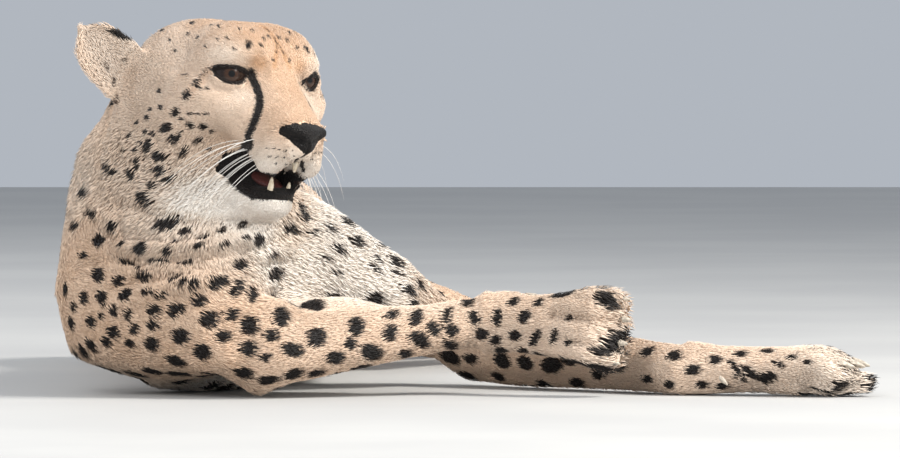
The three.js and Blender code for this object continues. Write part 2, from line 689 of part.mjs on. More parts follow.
keep("hindquarters", largest(rest), TAN);

// ---- tail nodes ----
let tail = cutter(solid(sweep(tailLine, 9, 2)), belowFloor);
for (const [name, at] of Object.entries(TAIL_CUTS).reverse()) {
  keep(name, tail.subtract(acrossTail(at, 1)), TAN);
  tail = tail.subtract(acrossTail(at, -1));
}

// ---- the animal, with its origin at the middle of its footprint ----
const shapes = nodes.map(({ made }) => geometryOf(made));
const extent = new THREE.Box3();
for (const shape of shapes) {
  shape.computeBoundingBox();
  extent.union(shape.boundingBox);
}
const footprint = extent.getCenter(V(0, 0, 0)).setZ(extent.min.z);
const animal = new THREE.Group();
nodes.forEach(({ name, material }, i) => {
  const mesh = new THREE.Mesh(shapes[i].translate(-footprint.x, -footprint.y, -footprint.z), material());
  mesh.name = name;
  animal.add(mesh);
});
export default animal;
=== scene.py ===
"""A lying cheetah, life size: skin, coat, eyes, teeth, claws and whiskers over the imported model."""
import json
import math
from contextlib import contextmanager

import bmesh
import bpy
import numpy as np
from mathutils import Matrix, Vector
from mathutils.bvhtree import BVHTree

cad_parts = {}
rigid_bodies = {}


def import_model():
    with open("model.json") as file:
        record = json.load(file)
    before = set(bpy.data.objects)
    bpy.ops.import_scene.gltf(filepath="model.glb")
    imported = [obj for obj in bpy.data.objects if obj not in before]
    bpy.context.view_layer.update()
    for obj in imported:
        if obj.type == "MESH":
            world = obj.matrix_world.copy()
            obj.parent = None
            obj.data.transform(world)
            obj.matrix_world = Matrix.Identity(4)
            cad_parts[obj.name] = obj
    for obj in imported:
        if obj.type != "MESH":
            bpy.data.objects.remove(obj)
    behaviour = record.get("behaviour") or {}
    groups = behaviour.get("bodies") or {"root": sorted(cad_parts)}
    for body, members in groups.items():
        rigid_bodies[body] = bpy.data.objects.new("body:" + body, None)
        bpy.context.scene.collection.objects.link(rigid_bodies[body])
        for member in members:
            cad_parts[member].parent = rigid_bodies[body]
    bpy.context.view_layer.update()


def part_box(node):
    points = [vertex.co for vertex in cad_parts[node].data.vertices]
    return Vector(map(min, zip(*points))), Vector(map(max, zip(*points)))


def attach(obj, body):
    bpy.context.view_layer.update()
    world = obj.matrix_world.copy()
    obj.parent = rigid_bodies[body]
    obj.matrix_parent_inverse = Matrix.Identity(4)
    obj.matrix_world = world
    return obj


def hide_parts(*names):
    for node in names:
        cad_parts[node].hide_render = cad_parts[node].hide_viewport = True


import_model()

# ---------------------------------------------------------------- places and measures
MM = 0.001
SHIFT = np.array([5.039, 414.187, 0.0])   # what recentring took off the working drawing, mm


def at(*xyz):
    """Working-drawing millimetres to metres in the model's frame."""
    return (np.array(xyz, float) - SHIFT) * MM


EYES_AT = at(-148, -50, 250)              # the middle between the eyes
# the head's forward, left and up
HEAD_AXES = np.array([[.5693, -.8131, -.1219], [.8124, .5792, -.0692], [.1269, -.0597, .9902]])
EYE_RADIUS = 16 * MM
SKIN_FLOOR, TUFT_FLOOR = .8 * MM, .25 * MM    # how low the skin and the tufts may reach
PIXEL = 0.79 * MM                         # metres across the target plane for one pixel
VIEW_WIDTH, VIEW_MIDDLE = 900, (450, 229)
SENSOR = 36
LENS_DROP = math.radians(1.5)
CAMERA_FAR = 8.0


def unit(v):
    v = np.asarray(v, float)
    return v / np.maximum(np.linalg.norm(v, axis=-1, keepdims=True), 1e-12)


def dots(a, b):
    """The dot product of each pair of rows."""
    return np.einsum("ij,ij->i", a, b)


def most(*values):
    """The largest of several values at each point."""
    return np.max(values, axis=0)


def placed(columns, origin):
    """The matrix that takes x, y and z to three directions, and zero to an origin."""
    return Matrix([[*row, p] for row, p in zip(np.transpose(columns), origin)] + [[0, 0, 0, 1]])


def head_coords(p):
    """Forward, left and up from between the eyes, in mm."""
    return (np.asarray(p) - EYES_AT) @ HEAD_AXES.T / MM


def head_point(a, b, c):
    return EYES_AT + np.array([a, b, c], float) @ HEAD_AXES * MM


def step(x, low, high):
    t = np.clip((x - low) / (high - low), 0, 1)
    return t * t * (3 - 2 * t)


# ---------------------------------------------------------------- camera
LOOK = np.array([0, math.cos(LENS_DROP), -math.sin(LENS_DROP)])
RIGHT = np.array([1.0, 0, 0])
UP = np.cross(RIGHT, LOOK)
TARGET = at(0, 0, 130.4)
LENS_AT = TARGET - LOOK * CAMERA_FAR


def make_camera():
    data = bpy.data.cameras.new("camera")
    data.sensor_width = SENSOR
    data.lens = SENSOR * CAMERA_FAR / (VIEW_WIDTH * PIXEL)
    camera = bpy.data.objects.new("camera", data)
    camera.matrix_world = placed([RIGHT, UP, -LOOK], LENS_AT)
    bpy.context.collection.objects.link(camera)
    bpy.context.scene.camera = camera


def sight(x, y):
    """The line of sight through one place of the view."""
    across = (x - VIEW_MIDDLE[0]) * PIXEL
    down = (y - VIEW_MIDDLE[1]) * PIXEL
    return unit(TARGET + RIGHT * across - UP * down - LENS_AT)


make_camera()

# ---------------------------------------------------------------- materials


class Value:
    """One output socket of a material's nodes, with arithmetic that adds Math nodes."""

    def __init__(self, tree, socket):
        self.tree, self.socket = tree, socket

    def node(self, kind, settings=None, **inputs):
        """A new node: its settings, then the values or links of its sockets, by name or as _number."""
        made = self.tree.nodes.new(kind)
        for name, value in (settings or {}).items():
            setattr(made, name, value)
        for name, value in inputs.items():
            self.put(made.inputs[int(name[1:]) if name[0] == "_" else name.replace("_", " ")], value)
        return made

    def put(self, socket, value):
        if isinstance(value, Value):
            self.tree.links.new(value.socket, socket)
        elif isinstance(value, tuple) and len(value) == 3 and socket.type == "RGBA":
            socket.default_value = (*value, 1)
        else:
            socket.default_value = value

    def of(self, socket):
        return Value(self.tree, socket)

    def out(self, output, kind, settings=None, **inputs):
        """One output of a new node."""
        return self.of(self.node(kind, settings, **inputs).outputs[output])

    def math(self, operation, a, b=0.0, clamp=False):
        return self.out(0, "ShaderNodeMath", {"operation": operation, "use_clamp": clamp}, _0=a, _1=b)

    def __add__(self, other): return self.math("ADD", self, other)
    def __sub__(self, other): return self.math("SUBTRACT", self, other)
    def __rsub__(self, other): return self.math("SUBTRACT", other, self)
    def __mul__(self, other): return self.math("MULTIPLY", self, other)
    def __truediv__(self, other): return self.math("DIVIDE", self, other)
    __radd__, __rmul__ = __add__, __mul__

    def clamped(self): return self.math("ADD", self, 0.0, True)

    def above(self, low, high):
        """0 below low, 1 above high."""
        return self.out(0, "ShaderNodeMapRange", {"interpolation_type": "SMOOTHSTEP"},
                        Value=self, From_Min=low, From_Max=high)


class Finish(Value):
    """A material with one shader, and the sources that its patterns read."""

    def __init__(self, name, **fixed):
        self.material = bpy.data.materials.new(name)
        self.material.use_nodes = True
        super().__init__(self.material.node_tree, None)
        self.shader = self.tree.nodes["Principled BSDF"]
        self.feed(**fixed)

    def attribute(self, name):
        return self.out("Fac", "ShaderNodeAttribute", {"attribute_name": name})

    def place(self):
        return self.out("Object", "ShaderNodeTexCoord")

    def noise(self, scale, detail=3.0, roughness=0.5):
        return self.out(0, "ShaderNodeTexNoise", Vector=self.place(), Scale=scale, Detail=detail,
                        Roughness=roughness)

    def mix(self, share, a, b, blend="MIX"):
        return self.out(2, "ShaderNodeMix", {"data_type": "RGBA", "blend_type": blend},
                        _0=share, _6=a, _7=b)

    def feed(self, **inputs):
        for name, value in inputs.items():
            self.put(self.shader.inputs[name.replace("_", " ")], value)
        return self.material

    def bump(self, height, strength, distance):
        return self.feed(Normal=self.out(0, "ShaderNodeBump", Height=height, Strength=strength,
                                         Distance=distance))


TAN, TAN_DEEP, CREAM = (.81, .62, .47), (.71, .51, .36), (.94, .87, .78)
RUFOUS, SPOT, SPOT_EDGE = (.70, .42, .23), (.012, .009, .008), (.07, .042, .028)
WHITE, TICKS = (.97, .93, .87), (.36, .22, .13)


def coat_colour(m, shade):
    """The coat's colour from its marking attributes; shade darkens it, with random tone from hair to hair
    and, in the tufts, painted shade towards each tuft's root.
    """
    pale, rufous, spot, dark = (m.attribute(n) for n in ("pale", "rufous", "spot", "dark"))
    patchy = m.noise(38.0, 2.0)
    ground = m.mix(patchy.above(.35, .7), TAN_DEEP, TAN)
    ground = m.mix((patchy * .5 + .25).clamped(), ground, TAN)
    ground = m.mix(rufous * .8, ground, RUFOUS)
    ticks = m.noise(430.0, 3.0, roughness=.7).above(.5, .72) * (1 - pale * .6)
    ground = m.mix(ticks * .42, ground, TICKS)
    ground = m.mix(pale, ground, CREAM)
    ground = m.mix((pale - .8).above(0, .2), ground, WHITE)
    ragged = m.noise(520.0, 2.0) * .34 - .17
    edge = spot + ragged
    ground = m.mix(edge.above(.32, .52), ground, SPOT_EDGE)
    ground = m.mix(edge.above(.44, .62), ground, SPOT)
    ground = m.mix((dark + ragged * .8).above(.36, .62), ground, SPOT)
    return m.mix(shade, ground, (.60, .50, .42), "MULTIPLY")


def skin_material():
    m = Finish("skin_with_short_hair", Specular_IOR_Level=.2, Sheen_Weight=.04, Sheen_Roughness=.5)
    hair = m.noise(900.0, 4.0, roughness=.65)
    colour = coat_colour(m, (1 - hair).above(.25, .8) * .55)
    lip, mouth, nose = m.attribute("lip"), m.attribute("mouth"), m.attribute("nose")
    # the mouth's own red flesh, darkened as painted shade inside the mouth
    flesh = m.mix(m.noise(260.0).above(.4, .7), (.085, .018, .018), (.16, .045, .04))
    colour = m.mix(mouth.above(.4, .6), colour, flesh)
    leather = m.mix(m.noise(700.0).above(.4, .75), (.004, .0035, .0035), (.014, .011, .010))
    bare = lip.math("MAXIMUM", lip, nose)
    colour = m.mix(bare.above(.4, .6), colour, leather)
    wet = bare.math("MAXIMUM", bare, mouth).above(.3, .7)
    grain = m.out(0, "ShaderNodeTexVoronoi", Vector=m.place(), Scale=820.0)
    fine = grain * .8 * wet + hair * (1 - wet)
    m.feed(Base_Color=colour, Roughness=.78 - wet * .30 + hair * .08)
    return m.bump(fine, .55, .0016)


def tuft_material():
    m = Finish("coat_hair", Specular_IOR_Level=.28, Sheen_Weight=.10, Sheen_Roughness=.45)
    tip, own = m.attribute("tip"), m.attribute("own")
    streak = m.noise(1500.0, 2.0)
    # each tuft is painted darker towards its root as painted shade deep in the coat; own and streak add
    # random tone from tuft to tuft
    shade = ((1 - tip) * .34 + own * .34 + streak * .2 - .12).clamped()
    m.feed(Base_Color=coat_colour(m, shade), Roughness=.60 + own * .2)
    return m.bump(streak, .3, .0004)


def eye_material(eye):
    """Rings round the gaze on the eyeball: pupil, iris with spokes, dark rim, brownish white; iris and
    white are darkened as painted shade under the brow.
    """
    m = Finish(eye.side + "_eye_ball", Roughness=.25, Specular_IOR_Level=.3, Coat_Weight=.35,
               Coat_Roughness=.03)
    axes = np.array([eye.across, eye.up, eye.gaze])
    turn = Matrix(axes).to_4x4().to_quaternion().to_euler()
    # a Mapping node turns first and then moves, so the move is the turned centre
    turned = m.out(0, "ShaderNodeMapping", Vector=m.place(), Rotation=tuple(turn),
                   Location=tuple(-(axes @ eye.centre)))
    parts = m.node("ShaderNodeSeparateXYZ", Vector=turned)
    x, y = m.of(parts.outputs[0]) / EYE_RADIUS, m.of(parts.outputs[1]) / EYE_RADIUS
    out = m.math("SQRT", x * x + y * y)
    angle = m.math("ARCTAN2", y, x)
    spokes = m.out(0, "ShaderNodeTexNoise", {"noise_dimensions": "1D"}, W=angle * 9.0, Scale=3.0,
                   Detail=3.0)
    # the iris's own brown, darkened further as painted shade under the brow
    iris = m.mix(spokes.above(.35, .7), (.018, .008, .004), (.050, .021, .010))
    iris = m.mix(out.above(.30, .44), iris, (.012, .006, .004))
    iris = m.mix(1 - out.above(.155, .19), iris, (.002, .002, .002))
    colour = m.mix(out.above(.50, .56), iris, (.016, .010, .008))
    m.feed(Base_Color=colour)
    return m.bump(spokes * (1 - out.above(.42, .5)), .08, .0004)


def plain_material(name, low, high, scale, roughness, bump=.2):
    """Horn, tooth, tongue, whiskers and floor: two close tones in a fine noise, with a light bump."""
    m = Finish(name)
    grain = m.noise(scale, 4.0)
    m.feed(Base_Color=m.mix(grain.above(.35, .68), low, high), Roughness=roughness + grain * .12)
    return m.bump(grain, bump, .0006)


# ---------------------------------------------------------------- flesh nodes
SIDES = ("right", "left")
LEG_PARTS = ("upper_leg", "lower_leg", "paw")
TRUNK = ["neck", "chest", "belly", "hindquarters"]
TAIL = ["tail_base", "tail_middle", "tail_tip"]
HEAD = ["head", "lower_jaw", "nose", "right_ear", "left_ear"]
LEGS = [f"{side}_{end}_{part}" for side in SIDES for end in ("fore", "hind") for part in LEG_PARTS]
FLESH = HEAD + TRUNK + TAIL + LEGS
MERGE = 1e-5


def grown_copy(shape, name, by, move=Vector()):
    """Adds a node's closed surface to a bmesh, merged, pushed out along its normals and moved."""
    bm = bmesh.new()
    bm.from_mesh(bpy.data.objects[name].data)
    bmesh.ops.remove_doubles(bm, verts=bm.verts, dist=MERGE)
    bmesh.ops.recalc_face_normals(bm, faces=bm.faces)
    bm.normal_update()
    for v in bm.verts:
        v.co += v.normal * by + move
    part = bpy.data.meshes.new("part")
    bm.to_mesh(part)
    bm.free()
    shape.from_mesh(part)
    bpy.data.meshes.remove(part)


def add_ball(shape, centre, radii, axes=HEAD_AXES):
    """An ellipsoid with its radii in mm along the given axes."""
    place = placed(axes * np.array(radii)[:, None] * MM, centre)
    bmesh.ops.create_icosphere(shape, subdivisions=3, radius=1, matrix=place)


def meshed(shape, name):
    mesh = bpy.data.meshes.new(name)
    shape.to_mesh(mesh)
    shape.free()
    made = bpy.data.objects.new(name, mesh)
    bpy.context.collection.objects.link(made)
    return made


def applied(thing, kind, **settings):
    """Adds a modifier and takes its result as the mesh."""
    modifier = thing.modifiers.new(kind.lower(), kind)
    for key, value in settings.items():
        setattr(modifier, key, value)
    graph = bpy.context.evaluated_depsgraph_get()
    mesh = bpy.data.meshes.new_from_object(thing.evaluated_get(graph))
    thing.modifiers.clear()
    old, thing.data = thing.data, mesh
    bpy.data.meshes.remove(old)
    return thing


def smooth(thing):
    thing.data.polygons.foreach_set("use_smooth", np.ones(len(thing.data.polygons), bool))


def dressed(piece, material, slot, *nodes):
    """Gives a piece its material and its body, and hides the nodes that it stands for; slot is not used.
    """
    piece.data.materials.append(material)
    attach(piece, "root")
    if nodes:
        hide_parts(*nodes)


@contextmanager
def edited(mesh):
    """A mesh as a bmesh, written back at the end."""
    bm = bmesh.new()
    bm.from_mesh(mesh)
    yield bm
    bm.to_mesh(mesh)
    bm.free()


def cut_edges(bm, edges, **how):
    """Halves edges and keeps every face a triangle."""
    bmesh.ops.subdivide_edges(bm, edges=edges, cuts=1, **how)
    bmesh.ops.triangulate(bm, faces=[f for f in bm.faces if len(f.verts) > 3])


def rows_of(parts, key, width, kind=np.float32):
    out = np.empty(len(parts) * width, kind)
    parts.foreach_get(key, out)
    return out.reshape(-1, width)


def points_of(mesh):
    return rows_of(mesh.vertices, "co", 3).astype(float)


def set_points(mesh, co):
    mesh.vertices.foreach_set("co", np.asarray(co, np.float32).ravel())
    mesh.update()


def edges_of(mesh):
    return rows_of(mesh.edges, "vertices", 2, np.int32)


def normals_of(mesh):
    return rows_of(mesh.vertex_normals, "vector", 3).astype(float)


def averaged(values, pairs):
    """Each point's mean over its neighbours."""
    n = len(values)
    a, b = pairs.T
    count = np.maximum(np.bincount(a, minlength=n) + np.bincount(b, minlength=n), 1)
    total = [np.bincount(a, values[b, k], n) + np.bincount(b, values[a, k], n)
             for k in range(values.shape[1])]
    return np.stack(total, 1) / count[:, None]


def smoothed(co, pairs, rounds, share=0.5, back=0.0):
    """Rounds of smoothing, with a share by point; back swells the shape again after each round."""
    share = np.broadcast_to(np.asarray(share, float), (len(co),))[:, None]
    for _ in range(rounds):
        co = co + share * (averaged(co, pairs) - co)
        if back:
            co = co - share * (1 + back) * (averaged(co, pairs) - co)
    return co


def evened(values, pairs, rounds):
    """One value of each point, averaged over its neighbours again and again."""
    for _ in range(rounds):
        values = averaged(values[:, None], pairs)[:, 0]
    return values


NAMES = {name: i for i, name in enumerate(FLESH)}


def flesh_tree():
    """All flesh nodes' faces in one search tree, with the node of each face."""
    corners, faces, owner = [], [], []
    for name in FLESH:
        mesh = bpy.data.objects[name].data
        first = len(corners)
        corners += [v.co.copy() for v in mesh.vertices]
        for face in mesh.polygons:
            faces.append([first + i for i in face.vertices])
            owner.append(NAMES[name])
    return BVHTree.FromPolygons(corners, faces), np.array(owner)


FLESH_TREE, FLESH_OWNER = flesh_tree()


def labels_of(points):
    """Which flesh node each point is nearest to."""
    label = FLESH_OWNER[[FLESH_TREE.find_nearest(Vector(p))[2] for p in points]]
    # the far shoulder touches the throat, so a little of it lies in the head's node
    a, b, c = head_coords(points).T
    stray = (label == NAMES["head"]) & ((a > 5) & (c < -74) | (a > -40) & (b > 40) & (c < -92))
    label[stray] = NAMES["chest"]
    return label


def is_any(label, *names):
    return np.isin(label, [i for name, i in NAMES.items() if any(n in name for n in names)])


def by_part(label, table, otherwise):
    out = np.full(len(label), otherwise, float)
    for part, value in table.items():
        out[is_any(label, part)] = value
    return out


# ---------------------------------------------------------------- skin
VOXEL_TRUNK, VOXEL_SKIN = 5.0 * MM, 2.3 * MM
CLOSING = 1.0 * MM                        # how far each node grows to close the gaps between nodes
TRUNK_ROUNDS, SKIN_ROUNDS, DEPTH_ROUNDS, LIE_ROUNDS, PALE_ROUNDS = 30, 14, 12, 14, 14


def trunk_form():
    """The trunk and legs as one soft form, without the nodes' flat faces."""
    shape = bmesh.new()
    for name in TRUNK + TAIL[:1] + [n for n in LEGS if "leg" in n]:
        grown_copy(shape, name, CLOSING)
    for x, y, z, *radii in BODY_FORMS:
        add_ball(shape, at(x, y, z), radii, np.eye(3))
    form = applied(meshed(shape, "trunk_form"), "REMESH", mode="VOXEL", voxel_size=VOXEL_TRUNK)
    co, pairs = points_of(form.data), edges_of(form.data)
    label = labels_of(co)
    share = by_part(label, {"tail": .15, "lower_leg": .35, "head": .4, "paw": .4}, .55)
    near_tail = step(co[:, 1], at(0, 560, 0)[1], at(0, 640, 0)[1])
    share = share * (1 - .6 * near_tail)
    co = smoothed(co, pairs, TRUNK_ROUNDS, share, .05)
    set_points(form.data, smoothed(co, pairs, 5, share))
    return form


def skin_form():
    form = trunk_form()
    shape = bmesh.new()
    shape.from_mesh(form.data)
    bpy.data.objects.remove(form)
    for name in HEAD + TAIL + [n for n in LEGS if "paw" in n] + ["right_eye", "left_eye"]:
        grown_copy(shape, name, CLOSING)
    for a, b, c, *radii in FACE_FORMS:
        for side in (1, -1) if b else (1,):
            add_ball(shape, head_point(a, b * side, c), radii)
    for a, b, c, *radii in ONE_SIDE_FORMS:
        add_ball(shape, head_point(a, b, c), radii)
    for x, y, z, *radii in LATE_FORMS:
        add_ball(shape, at(x, y, z), radii, np.eye(3))
    return applied(meshed(shape, "skin"), "REMESH", mode="VOXEL", voxel_size=VOXEL_SKIN)


# head places and radii in mm, on both sides: brow, whisker pad, front of the upper lip; lower lip
FACE_FORMS = [
    (4, 31, 17, 15, 16, 6),
    (48, 15.5, -52, 15, 14, 10),
    (56, 6.5, -51, 12, 9, 7.5),
    (37, 0, -85, 15.5, 18.5, 5.8),
]
# the hanging upper lip's right half, twice, and left half; the nose pad's left wing, the left brow, and
# the left cheek's inner wall between the jaws
ONE_SIDE_FORMS = [
    (47, -15.5, -61, 13, 11, 12), (54, -9, -56, 11, 8, 9.5), (56, 20, -59, 10, 8, 12),
    (62, 17, -34, 8, 8, 7.5), (8, 33.5, 12, 14, 16, 9), (37, 14, -73, 23, 4.5, 11),
]
# working-drawing places and radii: the fold before the right foreleg, its elbow, the root of the tail
BODY_FORMS = [
    (-92, -12, 50, 62, 42, 30),
    (-150, -70, 44, 48, 40, 40),
    (-251, 668, 56, 34, 40, 30),
    (-253, 700, 47, 27, 40, 26),
]
# ---------------------------------------------------------------- bones, in the working drawing
TRUNK_LINE = [(-210, 8, 232), (-231, 28, 180), (-222, 78, 128), (-203, 60, 98), (-187, 180, 102),
              (-180, 300, 94), (-192, 410, 82), (-215, 510, 74), (-238, 600, 76), (-252, 676, 58)]
TAIL_LINE = [(-252, 690, 50), (-262, 760, 32), (-235, 850, 18), (-150, 915, 17), (-40, 925, 16),
             (70, 895, 16), (160, 881, 14), (190, 879, 13)]
# places and radii of what fills the toes of the left forepaw, the hocks and a wrist, and the tail's root
LATE_FORMS = [(300, -44, 11, 27, 24, 10), (322, -50, 12, 12, 18, 8), (-84, 628, 26, 27, 27, 24),
              (38, 690, 25, 24, 24, 23), (184, -15, 21, 30, 23, 20),
              (-252, 690, 51, 34, 34, 32), (-256, 715, 45, 30, 30, 28), (-260, 740, 38, 27, 30, 26),
              (-262, 764, 32, 25, 24, 24)]
LEG_LINES = {
    "right_fore": [(-270, 20, 92), (-166, -84, 34), (24, -4, 57), (170, -98, 40)],
    "left_fore": [(-142, 52, 116), (-4, 172, 38), (184, -15, 21), (330, -49, 18)],
    "right_hind": [(-238, 600, 46), (-150, 372, 37), (-84, 628, 25), (20, 798, 25)],
    "left_hind": [(-232, 596, 106), (-62, 446, 60), (38, 690, 25), (96, 478, 22)],
}
EAR_LINES = {"right": [(-88, -69, -12), (-106, -97, 14)], "left": [(-88, 60, -8), (-122, 84, 2)]}
EAR_FACES = {"right": (.75, -.62, .1), "left": (.55, .8, .1)}

# ---------------------------------------------------------------- eyes and lids
GAZES = {"right": (.90, -.35, .26), "left": (.967, .04, .243)}   # in head axes
# outer and inner corner of each eye, degrees off the gaze
LID_ENDS = {"right": ((-47, 13), (54, 2)), "left": ((-30, 7), (17, -8))}
# how far the upper and the lower lid bow from the line between the corners
LID_RISE, LID_FALL = {"right": 4, "left": 6}, {"right": 29, "left": 23}
LID_THICK = 2.0 * MM


class Eye:
    def __init__(self, side):
        self.side = side
        self.centre = head_point(1, 33.5 if side == "left" else -33.5, -1)
        self.gaze = unit(np.array(GAZES[side]) @ HEAD_AXES)
        inward = HEAD_AXES[1] * (-1 if side == "left" else 1)
        self.nose = unit(inward - self.gaze * (inward @ self.gaze))
        up = np.cross(self.gaze, self.nose)
        self.up = up if up @ HEAD_AXES[2] > 0 else -up
        self.across = np.cross(self.up, self.gaze)

    def outside(self, points):
        """How far outside the lids' opening each direction is, in degrees; negative inside."""
        d = unit(points - self.centre)
        turn = np.degrees(np.arctan2(d @ self.nose, d @ self.gaze))
        rise = np.degrees(np.arcsin(np.clip(d @ self.up, -1, 1)))
        (x0, y0), (x1, y1) = LID_ENDS[self.side]
        t = (turn - x0) / (x1 - x0)
        inside = np.clip(t, 0, 1)
        line = y0 + (y1 - y0) * inside
        bow = (4 * inside * (1 - inside)) ** .6
        over = np.maximum(rise - line - LID_RISE[self.side] * bow,
                          line - LID_FALL[self.side] * bow - rise)
        past = np.maximum(-t, t - 1) * (x1 - x0)
        return np.where(past > 0, np.hypot(np.maximum(past, 0), np.maximum(over, 0)), over)

    def inner_corner(self):
        turn, rise = np.radians(LID_ENDS[self.side][1])
        way = (self.gaze * math.cos(turn) + self.nose * math.sin(turn)) * math.cos(rise)
        return self.centre + (way + self.up * math.sin(rise)) * (EYE_RADIUS + LID_THICK)

    def shaped(self, points):
        """Lids over the ball, and the skin inside the opening sunk behind it."""
        away = points - self.centre
        far = np.linalg.norm(away, axis=1)
        d = away / far[:, None]
        m = self.outside(points)
        inner = EYE_RADIUS * (.80 + .21 * step(m, -9, -1))
        lid = inner + (EYE_RADIUS + LID_THICK - inner) * step(m, -1.5, 5)
        crease = -1.6 * MM * np.exp(-((m - 17) / 5) ** 2) * (d @ self.up > 0)
        keep = step(m, 9, 34)
        wanted = (lid + crease) * (1 - keep) + np.maximum(far, EYE_RADIUS + LID_THICK) * keep
        share = (far < 36 * MM) & (d @ self.gaze > -.15)
        return np.where(share[:, None], self.centre + d * wanted[:, None], points)


EYES = [Eye(side) for side in SIDES]

# ---------------------------------------------------------------- skin, continued
COAT_DEPTH = {"nose": .2, "ear": .8, "lower_jaw": 2.0, "head": 2.6, "paw": 2.2, "lower_leg": 3.2,
              "upper_leg": 4.2, "tail": 4.0, "neck": 6.5}
COAT_DEPTH_TRUNK = 4.8
SKIN_TRIANGLES = 130000
LONGEST_EDGE = 7.5 * MM


def only_the_largest(thing):
    """Keeps the outer surface and drops closed hollows inside it."""
    pairs = edges_of(thing.data)
    group = np.arange(len(thing.data.vertices))
    while True:
        low = np.minimum(group[pairs[:, 0]], group[pairs[:, 1]])
        new = group.copy()
        np.minimum.at(new, pairs[:, 0], low)
        np.minimum.at(new, pairs[:, 1], low)
        new = new[new]
        if (new == group).all():
            break
        group = new
    keep = group == np.bincount(group).argmax()
    with edited(thing.data) as bm:
        bm.verts.ensure_lookup_table()
        bmesh.ops.delete(bm, geom=[bm.verts[i] for i in np.flatnonzero(~keep)], context="VERTS")


def finer(thing, pick):
    """Cuts the picked faces' edges once, for detail."""
    with edited(thing.data) as bm:
        bmesh.ops.triangulate(bm, faces=bm.faces)
        bm.verts.ensure_lookup_table()
        picked = pick(np.array([v.co for v in bm.verts]))
        cut_edges(bm, [e for e in bm.edges if picked[e.verts[0].index] and picked[e.verts[1].index]],
                  use_grid_fill=True)


def near_eyes(points, reach):
    return np.any([np.linalg.norm(points - e.centre, axis=1) < reach * MM for e in EYES], axis=0)


def near_face(points):
    a, b, c = head_coords(points).T
    muzzle = (a > 18) & (np.abs(b) < 42) & (c < -18) & (c > -112)
    return near_eyes(points, 31) | muzzle


def to_path(points, path):
    """Distance to a path of points, and how far along it the nearest place is."""
    best = np.full(len(points), 1e9)
    along = np.zeros(len(points))
    gone = 0.0
    for start, end in zip(path[:-1], path[1:]):
        way = end - start
        length = np.linalg.norm(way)
        t = np.clip((points - start) @ way / length ** 2, 0, 1)
        far = np.linalg.norm(points - start - t[:, None] * way, axis=1)
        along = np.where(far < best, gone + t * length, along)
        best = np.minimum(far, best)
        gone += length
    return best, along


def carve_nose(points, normals):
    a, b, c = head_coords(points).T
    out = points.copy()
    for side in (1, -1):
        slit = np.array([head_point(74, 6.5 * side, -39.5), head_point(71, 12 * side, -37),
                         head_point(63, 18 * side, -37.5)])
        far, _ = to_path(points, slit)
        deep = 5.0 * np.exp(-(far / (3.0 * MM)) ** 2)
        out -= (deep * MM)[:, None] * (HEAD_AXES[0] * .75 + HEAD_AXES[1] * side * .3
                                       + HEAD_AXES[2] * .15)
    groove = 1.7 * np.exp(-(b / 1.3) ** 2) * step(a, 44, 54) * step(c, -78, -70) * (c < -40)
    return out - normals * (groove * MM)[:, None]


def toe_places(points, label):
    """How far sideways and forward of the nearest gap between two claws each point is, in mm."""
    aside, ahead = np.full(len(points), 99.0), np.full(len(points), -999.0)
    for leg, line in LEG_LINES.items():
        claws = [np.array(sum(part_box(f"{leg}_claw_{i}"), Vector())) / 2 for i in range(1, 5)]
        forward = unit(np.subtract(line[3], line[2]))
        for first, second in zip(claws[:-1], claws[1:]):
            across = second - first
            across = unit(across - forward * (across @ forward))
            rel = points - (first + second) / 2
            close = (np.linalg.norm(rel, axis=1) < 62 * MM) & is_any(label, leg)
            side = np.abs(rel @ across) / MM
            nearer = close & (side < aside)
            aside[nearer] = side[nearer]
            ahead[nearer] = (rel @ forward)[nearer] / MM
    return aside, ahead


def toe_grooves(points, normals, label):
    aside, ahead = toe_places(points, label)
    deep = 4.2 * np.exp(-(aside / 2.5) ** 2) * step(ahead, -46, -30) * is_any(label, "paw")
    return points - normals * (deep * MM)[:, None]


def seen_path(tree, places):
    """Points on the skin behind a run of places of the view."""
    hits = [tree.ray_cast(Vector(LENS_AT), Vector(sight(x, y))) for x, y in places]
    return np.array([h[0] for h in hits if h[0] is not None])


# height in mm, half width in mm, and the run of places of the view of each fold of the neck and chest,
# and last of the right forepaw's crease
FOLDS = [
    (3.2, 7, [(118, 304), (150, 290), (190, 284), (235, 287), (270, 285)]),
    (-3.0, 5, [(96, 262), (150, 264), (200, 262), (245, 250), (285, 236)]),
    (-2.6, 4, [(110, 287), (150, 281), (190, 270), (240, 262), (290, 262)]),
    (2.2, 5, [(100, 248), (150, 249), (205, 246), (255, 238)]),
    (-2.2, 4, [(108, 234), (150, 238), (200, 238), (240, 228)]),
    (2.0, 5, [(130, 272), (190, 264), (240, 256), (290, 250)]),
    (-2.2, 6, [(120, 150), (112, 190), (122, 228)]),
    (-5.0, 4, [(552, 314), (580, 317), (604, 318), (624, 320)]),
]


